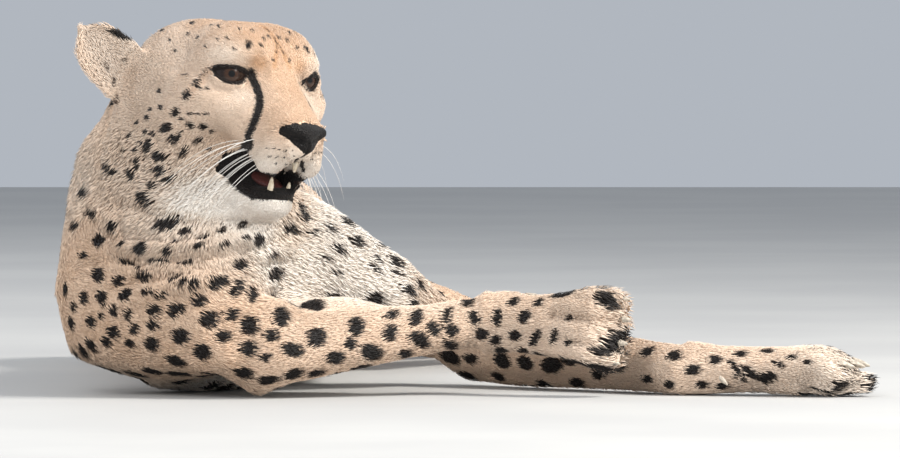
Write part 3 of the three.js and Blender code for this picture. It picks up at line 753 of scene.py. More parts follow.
def sculpted(thing, label):
    """Coat depth, folds, nose and lids, all as moves of the skin's points."""
    co, normals = points_of(thing.data), normals_of(thing.data)
    pairs = edges_of(thing.data)
    soft = unit(averaged(averaged(normals, pairs), pairs))
    depth = by_part(label, COAT_DEPTH, COAT_DEPTH_TRUNK)
    a, b, c = head_coords(co).T
    muzzle = is_any(label, "head", "lower_jaw") * step(a, 8, 40)
    depth = depth * (1 - .6 * muzzle)
    depth = evened(depth, pairs, DEPTH_ROUNDS)
    floor_was = co[:, 2].copy()
    co = co - soft * (depth * MM)[:, None]
    co[:, 2] = SKIN_FLOOR + (co[:, 2] - SKIN_FLOOR) * step(floor_was, 1 * MM, 10 * MM)
    tree = BVHTree.FromPolygons([Vector(p) for p in co],
                                [list(f.vertices) for f in thing.data.polygons])
    for height, half, places in FOLDS:
        far, _ = to_path(co, seen_path(tree, places))
        co = co + soft * (height * MM * np.exp(-(far / (half * MM)) ** 2))[:, None]
    set_points(thing.data, co)
    co = carve_nose(co, normals_of(thing.data))
    co = toe_grooves(co, soft, label)
    for eye in EYES:
        co = eye.shaped(co)
    set_points(thing.data, co)


def lightened(thing):
    """Fewer triangles where the body is plain, and all of them in the face."""
    co = points_of(thing.data)
    label = labels_of(co)
    group = thing.vertex_groups.new(name="plain")
    facing = dots(normals_of(thing.data), -unit(co - LENS_AT)) > 0
    plain = by_part(label, {"paw": .25, "ear": .2, "nose": .05, "lower_jaw": .12, "head": .2}, 1.0)
    plain = np.where(facing, plain * .6, plain)
    plain[near_face(co)] = .03
    for value in np.unique(plain):
        group.add(np.flatnonzero(plain == value).tolist(), float(value), "REPLACE")
    count = sum(len(f.vertices) - 2 for f in thing.data.polygons)
    applied(thing, "DECIMATE", ratio=min(1.0, SKIN_TRIANGLES / count), vertex_group="plain",
            use_collapse_triangulate=True)
    thing.vertex_groups.clear()
    for _ in range(4):
        with edited(thing.data) as bm:
            cut_edges(bm, [e for e in bm.edges if e.calc_length() > LONGEST_EDGE])


def make_skin():
    thing = skin_form()
    only_the_largest(thing)
    label = labels_of(points_of(thing.data))
    share = by_part(label, {"nose": .16, "ear": .14, "paw": .45, "lower_jaw": .4, "head": .6,
                            "lower_leg": .5, "tail": .5}, .6)
    co = smoothed(points_of(thing.data), edges_of(thing.data), SKIN_ROUNDS, share)
    set_points(thing.data, co)
    finer(thing, near_face)
    finer(thing, lambda p: near_eyes(p, 25))
    sculpted(thing, labels_of(points_of(thing.data)))
    lightened(thing)
    smooth(thing)
    return thing


skin = make_skin()


# ---------------------------------------------------------------- lie of the coat
BONES = {"trunk": np.array([at(*p) for p in TRUNK_LINE]),
         "tail": np.array([at(*p) for p in TAIL_LINE]),
         **{leg: np.array([at(*p) for p in line]) for leg, line in LEG_LINES.items()},
         **{side + "_ear": np.array([head_point(*p) for p in line])
            for side, line in EAR_LINES.items()},
         "head": np.array([head_point(62, 0, -45), head_point(-110, 0, -20)])}


def bone_of(name):
    if "ear" in name:
        return name
    for bone, names in (("trunk", TRUNK), ("tail", TAIL), ("head", HEAD)):
        if name in names:
            return bone
    return "_".join(name.split("_")[:2])


BONE_NAMES = list(BONES)
BONE_OF_LABEL = np.array([BONE_NAMES.index(bone_of(n)) for n in FLESH])


def along_bone(points, label):
    """Each point's direction down its bone, its share of the way, and its turn round the bone."""
    way, share, turn = np.zeros_like(points), np.zeros(len(points)), np.zeros(len(points))
    bone = BONE_OF_LABEL[label]
    for i, name in enumerate(BONE_NAMES):
        pick = bone == i
        if not pick.any():
            continue
        p, path = points[pick], BONES[name]
        pull = np.zeros_like(p)
        heavy = np.zeros(len(p))
        for start, end in zip(path[:-1], path[1:]):
            leg = end - start
            t = np.clip((p - start) @ leg / (leg @ leg), 0, 1)
            far = np.linalg.norm(p - start - t[:, None] * leg, axis=1)
            weight = 1 / (far + 5 * MM) ** 4
            pull += weight[:, None] * unit(leg)
            heavy += weight
        far, gone = to_path(p, path)
        length = np.linalg.norm(np.diff(path, axis=0), axis=1).sum()
        way[pick], share[pick] = unit(pull / heavy[:, None]), gone / length
        side = unit(np.cross(way[pick], [.31, .22, .92]))
        middle = p - path[np.abs(np.linalg.norm(p[:, None] - path, axis=2)).argmin(1)]
        turn[pick] = np.arctan2(dots(middle, side), dots(middle, np.cross(way[pick], side)))
    return way, share, turn


def level(way, normals):
    """Directions with what they rise from the skin taken off."""
    return way - normals * dots(way, normals)[:, None]


def lie_of_coat(points, normals, label, pairs):
    way, _, _ = along_bone(points, label)
    from_nose = unit(points - head_point(66, 0, -34))
    hc = head_coords(points)
    on_head = is_any(label, "head", "lower_jaw", "nose")
    backward = unit(from_nose - .45 * HEAD_AXES[0])
    way[on_head] = backward[on_head]
    ruff = on_head & (hc[:, 2] < -45) & (hc[:, 0] < 15)
    way[ruff] = unit(way[ruff] - .8 * HEAD_AXES[2])
    for _ in range(LIE_ROUNDS):
        way = unit(averaged(unit(level(way, normals)), pairs))
    return unit(level(way, normals))


# ---------------------------------------------------------------- markings
# Each row is a spot's place in the view, its half length and half width in pixels, and its slant in
# degrees.
HEAD_SPOTS = """
198 84 5 2.5 58|188 96 6 3.4 55|177 113 5.5 3.8 50|168 127 6 4.2 10|176 137 5.5 4.2 -15|192 125 3.8 3.8 0
205 126 3.8 3.4 0|200 139 3.6 3.4 0|186 149 4.2 4 0|163 154 7 5 5|151 144 6.5 5 70|164 168 7 5 10
141 160 6 3.4 75|135 172 6 4 -65|173 177 6 2.8 10|157 184 5 4 60|112 166 9 4 -38|89 188 7 5.5 0
93 211 7.5 5 5|148 197 10 5 -45|171 219 11 5 5|115 222 6 4.2 20|78 222 5 5 0|71 177 3 3.5 0|71 194 4 4 0
155 132 3 2.6 0|149 117 3 2.4 50|163 108 2.8 2.4 0|152 109 2.4 2 0|148 130 2.8 2.2 60|133 134 2.6 2.4 0
144 140 2.6 2.2 0|201 89 2.2 1.8 0|209 89 1.7 1.5 0|208 114 2.2 1.8 0|199 114 2.2 1.8 0|192 114 2.2 1.8 0
184 119 2.2 1.8 0|212 147 2.2 1.8 0|214 131 2.4 1.9 0|194 24 2.6 2.4 0|179 23 2.8 2.2 0|164 31 2.8 2.2 0
212 26 2.2 1.6 0|220 27 2.4 1.5 0|249 46 4 2.4 80|269 38 2.2 1.6 0|190 35 2.2 1.8 60|199 39 2.2 1.8 60
229 39 1.9 1.5 0|187 75 2.2 2 0|172 42 2 1.6 0|178 52 1.9 1.5 0|207 47 1.8 1.4 0|219 40 1.8 1.4 0
241 30 2 1.5 0|253 32 2 1.5 0|261 46 1.9 1.5 0|288 42 2 1.6 0|296 49 2 1.5 0|304 49 2 1.5 0
289 62 1.8 1.4 0|236 50 1.7 1.4 0|161 92 2.2 1.9 0|139 121 2.2 1.9 0|140 147 2.4 2 0|127 146 2.4 2.2 0
182 132 2 1.7 0
"""
FACE_DOTS = """
269 148 2 1.1 0|275 148 1.9 1.1 0|280 149 1.9 1.1 0|286 150 1.9 1.1 0|293 151 1.9 1.1 0|271 156 1.9 1.1 0
278 156 1.9 1.1 0|285 156 1.9 1.1 0|294 156 1.9 1.1 0|300 156 1.6 1.1 0|277 162 1.7 1 0|287 163 1.7 1 0
"""
BODY_SPOTS = """
98 239 7.5 7 0|126 241 4 3 0|145 246 8 4 10|170 247 4.2 3.6 0|126 257 10 4.2 0|162 255 11 2.4 0
186 258 7.5 2.5 15|81 255 4.5 4 0|96 274 7 6.5 90|116 280 6.8 5 35|142 274 9 4.6 12|137 265 4.5 2 0
176 274 8 2.8 30|182 280 6 2 35|192 281 7 4 40|214 280 10 6 35|233 287 11 4.8 66|249 294 10 4.8 86
236 262 7.5 6.2 10|271 271 13 5.6 20|287 226 6.5 6 0|302 216 5 3.8 15|256 235 6.5 4.6 22|309 231 4.4 3 0
326 227 5.4 5 0|336 247 6.6 4 -20|354 240 8.4 4.6 -30|343 220 8.6 3.6 -25|377 235 9.4 4 -30
377 245 5 2.6 -20|374 257 5.4 3 -30|372 267 6 4 -30|393 261 9 4.4 -36|393 272 5 2.6 -25|406 254 9.4 4 -42
416 272 6.4 4 -42|428 276 7.6 4 -42|418 283 6.2 4 -35|405 288 8.4 5.2 -15|446 288 8.4 4 -40
441 296 8.6 5 -35|411 302 5.2 4 0|372 300 10.5 10 0|308 309 13.5 10 32|278 317 11 8 88|246 325 9.6 9 0
228 314 6.6 6 0|206 318 9.2 8.2 20|196 299 7.6 6 25|173 308 9 6.2 25|151 309 7 6.2 30|124 294 7.6 5 35
146 290 7.4 2.6 12|158 294 8.4 2.8 22|100 296 7 5.6 90|82 297 6.8 4 80|65 288 6 2.6 90|112 309 6.2 5 70
99 315 3.6 3.4 0|126 313 6.8 4 65|132 328 6.6 4.6 60|111 332 6.4 6 0|89 321 6.6 4.6 -75|70 322 7 3 -80
72 306 6 2.6 90|60 316 7 2.6 90|150 324 5.6 5.2 0|178 335 8.8 8.2 0|149 343 7.6 7 0|127 342 5 4.6 0
104 341 5.8 4.8 -50|89 343 7.2 4.6 -62|81 349 7 3.8 -70|74 350 6 3 -70|200 351 9.4 8 10|220 336 7.2 6.6 0
245 348 7.8 7.6 0|268 336 6.8 6.6 0|289 350 10.8 7 -20|313 338 10 9.4 60|262 358 6 4 0|332 358 10 6 0
347 344 6.4 5.6 0|368 352 12 7.4 -25|353 327 10 8 80|387 334 8.4 7 80|389 316 7.4 4.6 22
416 341 12 6.6 -30|413 318 9.4 6 72|430 330 7.6 6.4 -40|444 315 8.4 5 70|448 331 7.6 6.6 -40
447 346 9.6 4.6 -30|402 354 6.6 5 0|471 318 8.4 5.6 -50|464 302 8.4 6 45|469 358 8 5 0|479 334 6.4 6 0
495 317 8.6 4.6 85|493 340 6 5 30|522 317 7 5.4 60|513 335 6.6 5 0|498 350 7 4.6 0|533 338 9.6 3.6 62
552 336 9 3.2 70|511 302 6 3.8 30|536 303 5.4 3.6 40|520 350 6.6 4 10|567 318 4.4 2.8 60
566 342 4.4 2.6 60|550 365 12 8 10|596 374 7 5 0|645 352 7 4.4 10|672 356 7.6 5 0|690 370 7.4 5.4 0
712 360 7 4.4 0|738 354 6.4 3 0|748 372 11 3.4 -40|732 366 9 2.6 -50|645 378 6 4 0|618 366 7 4.6 0
668 384 6 4 0|764 352 7 2.4 0|776 364 6 2.4 -30|790 358 5.4 2.4 0|806 362 3.8 2.2 0|575 382 8 5 0
720 386 6 4 0|700 385 6 4 0|768 376 6 5 0
"""
EAR_SHADES = "116 84 9 3.2 85|119 102 9 2.6 80|109 70 7 3 -70|127 62 6 3.4 60"
# dark marks of the paws and legs, and one on the ear; the row at 596 350 is partly painted shadow under
# the right forepaw, mixed with its spots
PAW_DARKS = """
126 38 16 3.4 -25|604 300 13 9 -30|611 341 16 11 35|596 350 10 6 -20|621 330 6 7 0|560 294.5 13 3.4 12
625 338 4 6 0|871 385 7 12 -25|836 384 9 5 30|762 378 7 5 -50|736 372 9 2.4 50|742 377 7 2 60
"""
PALE_AREAS = "318 276 44 26 -15|392 268 64 24 -38|372 304 84 5 -2|250 262 30 8 0|296 306 26 12 -30"
BROWN_SPOTS = """
322 257 9 3.6 0|333 271 6.4 4 -22|270 252 10 3.2 5|188 226 7 3.6 20|205 232 8 3 25|222 225 7 3 25
243 222 6 3 15|200 242 7 2.4 25|222 240 7 2.2 25|242 234 6 2.2 25|178 238 5 2.4 30
"""
# The dark lines of the face: half of a width in pixels, and the places of the view that the line passes.
FACE_LINES = [
    (3.5, [(255.6, 84), (257, 87), (259.7, 95), (261, 104), (260, 111)]),
    (4.0, [(260.4, 106), (259, 113), (255.5, 122), (252, 130), (248, 139)]),
    (6.0, [(250, 143), (247, 152), (240, 160)]),
    (8.0, [(238, 160), (236, 170), (238, 178)]),
    (5.0, [(228, 164), (231, 174), (238, 184)]),
    (5.0, [(242, 186), (250, 191), (256, 195)]),
    (3.2, [(255, 195), (264, 195.8), (274, 196.4), (286, 196.4)]),
]
# lines of one side only
NEAR_LINES = [(3.5, [(252, 73), (254, 80), (257, 87)]), (1.8, [(303, 160), (302, 165), (304, 171)])]
RUFOUS_LINES = [(4.0, [(212, 69), (206, 76), (200, 84), (190, 96)]), (6.5, [(258, 62), (265, 65)]),
                (2.6, [(264, 28), (275, 42), (284, 56), (290, 70)])]
SHADE_LINES = [(2.5, [(210, 69), (203, 78), (196, 88)]), (1.2, [(268, 31), (276, 43), (284, 56)])]
HEAD_FLIP = np.eye(3) - 2 * np.outer(HEAD_AXES[1], HEAD_AXES[1])      # swaps the head's two sides
NO_SPOTS = 999                            # the spacing where no spots are filled in
SCATTER_SEED, SCATTER_TRIES = 21, 26000
GUESSED_FROM = (545, 356)                 # left of this and below it in the view, spots are filled in


class Marks:
    """All spots and lines of the coat, each an ellipsoid on the skin."""

    def __init__(self, thing):
        self.tree = BVHTree.FromObject(thing, bpy.context.evaluated_depsgraph_get())
        self.rows = {kind: [] for kind in ("spot", "dark", "rufous", "faint", "shade", "pale")}
        for rows, kind, both in ((HEAD_SPOTS, "spot", True), (FACE_DOTS, "faint", True),
                                 (BODY_SPOTS, "spot", False), (BROWN_SPOTS, "faint", False),
                                 (EAR_SHADES, "shade", False), (PAW_DARKS, "dark", False),
                                 (PALE_AREAS, "pale", False)):
            self.seen_spots(rows, kind, both)
        for lines, kind, both in ((FACE_LINES, "dark", True), (NEAR_LINES, "dark", False),
                                  (RUFOUS_LINES, "rufous", True), (SHADE_LINES, "shade", True)):
            for half, places in lines:
                self.line(half * PIXEL, places, kind, both)
        # the left tear line's mirrored start is carried on to the left eye's corner
        half, places = FACE_LINES[0]
        start = self.flipped(np.array(self.hit(*places[0])[0]))
        for t in np.linspace(0, 1, 7):
            self.add("dark", start + (EYES[1].inner_corner() - start) * t, np.eye(3), [half * PIXEL] * 3)

    @staticmethod
    def flipped(place):
        """The same place on the head's other side."""
        return EYES_AT + HEAD_FLIP @ (place - EYES_AT)

    def add(self, kind, centre, axes, radii, mirrored=False):
        radii = np.array(radii)[:, None]
        self.rows[kind].append((centre, axes / radii))
        if mirrored:
            self.rows[kind].append((self.flipped(centre), (axes @ HEAD_FLIP) / radii))

    def hit(self, x, y):
        return self.tree.ray_cast(Vector(LENS_AT), Vector(sight(x, y)))

    def seen_spots(self, rows, kind, on_head):
        for row in rows.strip().replace("\n", "|").split("|"):
            x, y, half, wide, slant = map(float, row.split())
            spot, normal = self.hit(x, y)[:2]
            if spot is None:
                continue
            turn = math.radians(slant)
            first = RIGHT * math.cos(turn) + UP * math.sin(turn)
            axes = np.array([first, np.cross(LOOK, first), LOOK])
            radii = [half * PIXEL, wide * PIXEL, max(half, wide) * 2.0 * PIXEL]
            self.add(kind, np.array(spot), axes, radii, on_head and head_coords(spot)[0] > -75)

    def line(self, half, places, kind, both):
        hits = [self.hit(x, y)[0] for x, y in places]
        path = np.array([h for h in hits if h is not None])
        for start, end in zip(path[:-1], path[1:]):
            parts = max(2, int(np.linalg.norm(end - start) / (half * .6)))
            for t in np.linspace(0, 1, parts, endpoint=False):
                self.add(kind, start + (end - start) * t, np.eye(3), [half * 1.15] * 3, both)

    def scatter(self, points, normals, way, label, share):
        """Fills what the camera doesn't see with spots of the species' spacing and size."""
        order = np.random.default_rng(SCATTER_SEED).permutation(len(points))
        spacing = by_part(label, {"neck": 19, "head": 17, "jaw": NO_SPOTS, "ear": NO_SPOTS,
                                  "nose": NO_SPOTS, "paw": 14, "lower_leg": 19, "upper_leg": 22,
                                  "tail": 18}, 24) * MM
        hc = head_coords(points)
        at_ears = np.any([np.linalg.norm(hc - line[0], axis=1) < 34 for line in EAR_LINES.values()],
                         axis=0)
        spacing[is_any(label, "head") & (at_ears | (hc[:, 0] > -35))] = NO_SPOTS * MM
        throat = is_any(label, "neck") & (hc[:, 0] > -60) & (hc[:, 2] < -60) & (np.abs(hc[:, 1]) < 40)
        spacing[throat] = 32 * MM
        rings = is_any(label, "tail") & (share > .60)
        made = np.array([row[0] for row in self.rows["spot"] + self.rows["faint"]])
        for i in order[:SCATTER_TRIES]:
            gap = spacing[i]
            if gap >= NO_SPOTS * MM or rings[i]:
                continue
            p = points[i]
            if (np.linalg.norm(made - p, axis=1) < gap).any() or self.shown(p, normals[i]):
                continue
            made = np.vstack([made, p])
            size = gap * (.27 + .10 * ((i * 7919) % 97) / 97)
            side = np.cross(normals[i], way[i])
            if np.linalg.norm(side) < .7:
                continue
            stretch = 1.15 + .35 * ((i * 104729) % 89) / 89
            self.add("spot", p, np.array([way[i], side, normals[i]]),
                     [size * stretch, size, size * 1.6])

    def shown(self, p, normal):
        """Whether the camera sees this place, so that only the spots of the tables are there."""
        towards = LENS_AT - p
        if normal @ unit(towards) < -.2:
            return False
        across = (p @ RIGHT - TARGET[0]) / PIXEL + VIEW_MIDDLE[0]
        down = (TARGET - p) @ UP / PIXEL + VIEW_MIDDLE[1]
        if across < GUESSED_FROM[0] and down > GUESSED_FROM[1]:
            return False
        near = self.tree.ray_cast(Vector(LENS_AT), Vector(unit(-towards)))[0]
        return near is None or np.linalg.norm(np.array(near) - p) < 16 * MM

    def field(self, points, kind):
        """1 in the middle of a mark, .5 at its edge, 0 well outside."""
        near = np.full(len(points), 2.0)
        for centre, scale in self.rows[kind]:
            reach = 1.6 / np.linalg.norm(scale, axis=1).min()
            close = np.flatnonzero((np.abs(points - centre) < reach).all(1))
            if len(close):
                far = np.linalg.norm((points[close] - centre) @ scale.T, axis=1)
                near[close] = np.minimum(near[close], far)
        return np.clip(1.5 - near, 0, 1)


def bands(share, label):
    """Dark rings of the tail's far part, before its pale end."""
    ring = .5 + .5 * np.cos((share - .64) * 2 * math.pi / .085)
    on = is_any(label, "tail") & (share > .62) & (share < .95)
    return np.where(on, step(ring, .25, .75), 0)


def ear_frame(side):
    line = EAR_LINES[side]
    axis = unit(np.subtract(line[1], line[0]))
    face = np.array(EAR_FACES[side])
    return np.array(line[0], float), axis, unit(face - axis * (face @ axis))


# middle, radii and slope of the open mouth's ellipsoid, and place and radii of the hanging upper lip, in
# head mm
GAPE_AT, GAPE_RADII, GAPE_SLOPE = np.array([42, 0, -75]), np.array([49, 40, 9.5]), math.radians(11)
FLEWS_AT, FLEWS_RADII = np.array([47, 15.5, -61]), np.array([13, 11, 12])
# place, radii and strength of the pale patches under and over each eye, in head mm
EYE_PATCHES = [((20, 29, -17), (15, 10, 15), 1.35), ((5, 35, 17), (15, 17, 8), 1.45)]
BELLY_SIDE, CHEST_SIDE, BACK_SIDE = unit([.80, -.05, -.60]), unit([.5, -.85, -.2]), unit([-.80, .05, .60])


def gape(hc):
    """How far out from the open mouth's middle a place is, how far across, and how high, all in radii."""
    rel = hc - GAPE_AT
    co, si = math.cos(GAPE_SLOPE), math.sin(GAPE_SLOPE)
    turned = np.stack([rel[:, 0] * co - rel[:, 2] * si, rel[:, 1],
                       rel[:, 0] * si + rel[:, 2] * co], 1) / GAPE_RADII
    return np.linalg.norm(turned, axis=1), np.hypot(turned[:, 0], turned[:, 1]), turned[:, 2]


def paleness(normals, label, share, hc, on_head, areas):
    """How pale the coat is: on the head, and on the rest with its pale areas."""
    a, b, c = hc.T
    trunk = is_any(label, *TRUNK)
    patches = [strength - np.linalg.norm((hc - np.array(place) * (1, side, 1)) / radii, axis=1)
               for place, radii, strength in EYE_PATCHES for side in (1, -1)]
    muzzle = step(c, -36, -58) * step(a, 18, 40)
    chin = step(c, -62, -84) * (.3 + .7 * step(a, -38, 0))
    ruff = step(c, -42, -75) * step(a, 25, -5) * step(c, -165, -105) * .34
    cheek = .30 * step(np.abs(b), 20, 45)
    head = np.clip(most(*patches, muzzle * .9, chin, ruff, cheek), 0, 1)
    nape = .16 * (1 - step(share, .12, .26))
    body = most(
        trunk * step(normals @ BELLY_SIDE, .0, .65),
        is_any(label, "chest", "neck") * step(normals @ CHEST_SIDE, .45, .95) * .35,
        is_any(label, "left_fore_upper") * (step(normals @ RIGHT, -.3, .5) * .95 * step(share, .33, .16)),
        is_any(label, "hind_upper", "hind_lower") * step(-normals[:, 2], -.2, .7) * .8,
        is_any(label, "paw", "fore_lower")
        * (.16 + .19 * step(share, .55, .85) + .4 * step(share, .86, .98)),
        is_any(label, "tail") * step(share, .93, .97), trunk * (ruff * .9 + nape), areas * .85)
    return np.where(on_head, head, body)


def markings(points, normals, label, marks):
    """All marking values at points of the skin."""
    share = along_bone(points, label)[1]
    hc = head_coords(points)
    a, b, c = hc.T
    on_head, at_paw = is_any(label, "head", "lower_jaw", "nose"), is_any(label, "paw")
    spot, faint, shade, dark, rufous, areas = (
        marks.field(points, kind) for kind in ("spot", "faint", "shade", "dark", "rufous", "pale"))
    pale = paleness(normals, label, share, hc, on_head, areas)
    rufous = most(on_head * (step(c, 8, 34) * step(a, -90, -10) * .34),
                  on_head * (step(np.abs(b), 16, 7) * step(c, -40, -5) * .25), rufous * .9,
                  is_any(label, *TRUNK) * step(normals @ BACK_SIDE, .2, .9) * .15)
    philtrum = step(np.abs(b), 1.9, .9) * (a > 46) * step(c, -44, -48) * (c > -73)
    dark = most(dark, on_head * philtrum, bands(share, label))
    for eye in EYES:
        away = points - eye.centre
        # the dark rim is the black lid margin; over each eye it reaches 4.5 degrees further as painted
        # shade under the brow
        over = 4.5 * step(away @ eye.up / MM, 1, 6)
        rim = 1 - step(eye.outside(points), 4.5 + over, 11 + over)
        dark = most(dark, rim * step(np.linalg.norm(away, axis=1), 25 * MM, 21 * MM))
    for side in SIDES:
        base, axis, face = ear_frame(side)
        at_ear = is_any(label, side + "_ear")
        height = (hc - base) @ axis
        behind = -(normals @ HEAD_AXES.T) @ face
        dark = most(dark, at_ear * (step(behind, .3, .7) * step(height, 4, 14) * step(height, 50, 38)))
        pale = most(pale, at_ear * (step(-behind, .1, .6) * .55))
    q, radial, height = gape(hc)
    reach = np.where(height < 0, 1.55, 1.16 + .4 * step(radial, .75, .95))
    lip = on_head * step(reach - q, 0, .2) * (a > 0)
    flews = np.linalg.norm((np.stack([a, np.abs(b), c], 1) - FLEWS_AT) / FLEWS_RADII, axis=1)
    lip = lip * (1 - (flews < 1.3) * step(c, -70, -67) * (np.abs(b) > 4))
    mouth = lip * step(.66 - radial, -.03, .05) * step(1.22 - q, 0, .05)
    aside, ahead = toe_places(points, label)
    toes = most(step(ahead, 1, 7), step(ahead, -16, -2) * np.exp(-(aside / 3.5) ** 2))
    sole = step(-normals[:, 2], .55, .9) * step(ahead, -50, -44)
    dark = most(dark, at_paw * most(toes, sole) * .9)
    nose = is_any(label, "nose") * step(1.35 * (c + 51.2) - np.abs(b), -.6, 1)
    return {"spot": most(spot, faint * .66, shade * .46), "pale": np.clip(pale, 0, 1),
            "dark": np.clip(dark, 0, 1), "rufous": np.clip(rufous, 0, 1), "lip": lip, "mouth": mouth,
            "nose": nose}


def put_values(mesh, values):
    for name, value in values.items():
        layer = mesh.attributes.new(name, "FLOAT", "POINT")
        layer.data.foreach_set("value", np.asarray(value, np.float32))


skin_points = points_of(skin.data)
skin_normals = normals_of(skin.data)
skin_label = labels_of(skin_points)
skin_pairs = edges_of(skin.data)
skin_way = lie_of_coat(skin_points, skin_normals, skin_label, skin_pairs)
skin_share = along_bone(skin_points, skin_label)[1]
marks = Marks(skin)
marks.scatter(skin_points, skin_normals, skin_way, skin_label, skin_share)
skin_marks = markings(skin_points, skin_normals, skin_label, marks)
skin_marks["pale"] = evened(skin_marks["pale"], skin_pairs, PALE_ROUNDS)
put_values(skin.data, skin_marks)
dressed(skin, skin_material(), "coat", *FLESH)


# ---------------------------------------------------------------- coat
def coat_measures(points, normals, label, values, share):
    """Length and width in mm, lift in degrees, and how thickly the tufts stand."""
    a, b, c = head_coords(points).T
    length = by_part(label, {"head": 4.8, "lower_jaw": 4.6, "ear": 6.4, "neck": 7.2, "chest": 7.4,
                             "belly": 8, "hindquarters": 7.8, "upper_leg": 7.2, "lower_leg": 6.4,
                             "paw": 6.0, "tail": 9}, 9)
    lift = by_part(label, {"head": 13, "ear": 15, "neck": 15, "paw": 14, "tail": 17}, 12)
    on_head = is_any(label, "head", "lower_jaw")
    length = length * (1 - .45 * (on_head * step(a, 0, 30)))
    ruff = (on_head | is_any(label, "neck")) * step(c, -42, -70) * step(a, 25, 0) * step(c, -150, -110)
    white = is_any(label, "chest", "belly", "left_fore_upper") * values["pale"]
    toes = is_any(label, "paw") * step(toe_places(points, label)[1], -34, -4)
    tip = is_any(label, "tail") * step(share, .8, .97)
    for place, longer, higher in ((ruff, 4, 7), (white, 3, 4), (toes, 4, 9), (tip, 7, 6)):
        length, lift = length + longer * place, lift + higher * place
    width = np.clip(length * .125, .45, 1.25)
    bare = most(values["lip"], values["mouth"], values["nose"])
    thick = 1 / (length * width)
    for eye in EYES:
        near = np.linalg.norm(points - eye.centre, axis=1) < 24 * MM
        thick = np.where(near, thick * step(eye.outside(points), 3, 7), thick)
    thick = thick * (bare < .3)
    under = is_any(label, "paw", "lower_leg", "upper_leg", *TRUNK) & (points[:, 2] < 3 * MM)
    thick[under] *= .05
    return length, width, lift, thick


# name of each coat piece, the parts it covers, and its number of tufts
COATS = [
    ("coat_face", ("head", "lower_jaw"), 33000),
    ("coat_crown", ("head", "ear"), 33000),
    ("coat_neck", ("neck",), 29000),
    ("coat_chest", ("chest",), 33000),
    ("coat_flank", ("belly",), 22000),
    ("coat_haunch", ("hindquarters", "right_hind_upper", "left_hind_upper"), 22000),
    ("coat_right_foreleg", ("right_fore",), 29000),
    ("coat_left_foreleg", ("left_fore",), 25000),
    ("coat_hind_legs", ("hind_lower", "hind_paw"), 12000),
    ("coat_tail", ("tail",), 12000),
]
FACE_LIMIT = -22                          # forward of this, in head mm, the face's coat begins
COAT_SEED = 100
# a tuft's points are its root, left, right, ridge and end, and its patch of the unwrap is PATCH wide
TUFT_FACES = np.array([[0, 3, 1], [0, 2, 3], [1, 3, 4], [3, 2, 4], [0, 1, 2], [1, 4, 2]])
TUFT_TIPS = [0, .45, .45, .55, 1.0]
TUFT_PATCH = np.array([[0, -.5], [-.5, 0], [.5, 0], [.1, .1], [0, .5]])
TUFT_POINTS, PATCH = 5, .003


def wave(points, size, seed):
    """A slow, even wobble over the body, from -1 to 1, that gathers tufts into locks."""
    turn = np.random.default_rng(seed).normal(size=(5, 3))
    parts = [np.sin(points @ t / (size * MM) + i * 1.7) for i, t in enumerate(turn)]
    return np.mean(parts, axis=0) * 1.6


def roots_for(label_pick, count, seed):
    """Random places on the picked triangles of the skin, thicker where the coat is finer."""
    draw = np.random.default_rng(seed)
    tri = skin_tri[label_pick]
    p = skin_points[tri]
    area = np.linalg.norm(np.cross(p[:, 1] - p[:, 0], p[:, 2] - p[:, 0]), axis=1) / 2
    seen = (skin_normals[tri].mean(1) @ -LOOK) > -.15
    weight = area * skin_thick[tri].mean(1) * np.where(seen, 1.0, .62)
    heaped = np.cumsum(weight)
    pick = np.searchsorted(heaped, (np.arange(count) + draw.random(count)) / count * heaped[-1])
    pick = np.minimum(pick, len(tri) - 1)
    u, v = draw.random((2, count))
    u, v = np.where(u + v > 1, 1 - u, u), np.where(u + v > 1, 1 - v, v)
    share = np.stack([1 - u - v, u, v], 1)
    corner = tri[pick]

    def carried(values):
        return np.einsum("ij,ij...->i...", share, values[corner])
    strongest = corner[np.arange(count), share.argmax(1)]
    return (carried(skin_points), unit(carried(skin_normals)), unit(carried(skin_way)),
            strongest, carried, draw)


def unwrapped(points, label):
    """Each root's place on an unwrap of the skin: along its bone, and round it."""
    _, share, turn = along_bone(points, label)
    row = BONE_OF_LABEL[label] / len(BONE_NAMES)
    return np.stack([.5 + turn / (2 * math.pi) * .98, row + (share * .9 + .05) / len(BONE_NAMES)], 1)


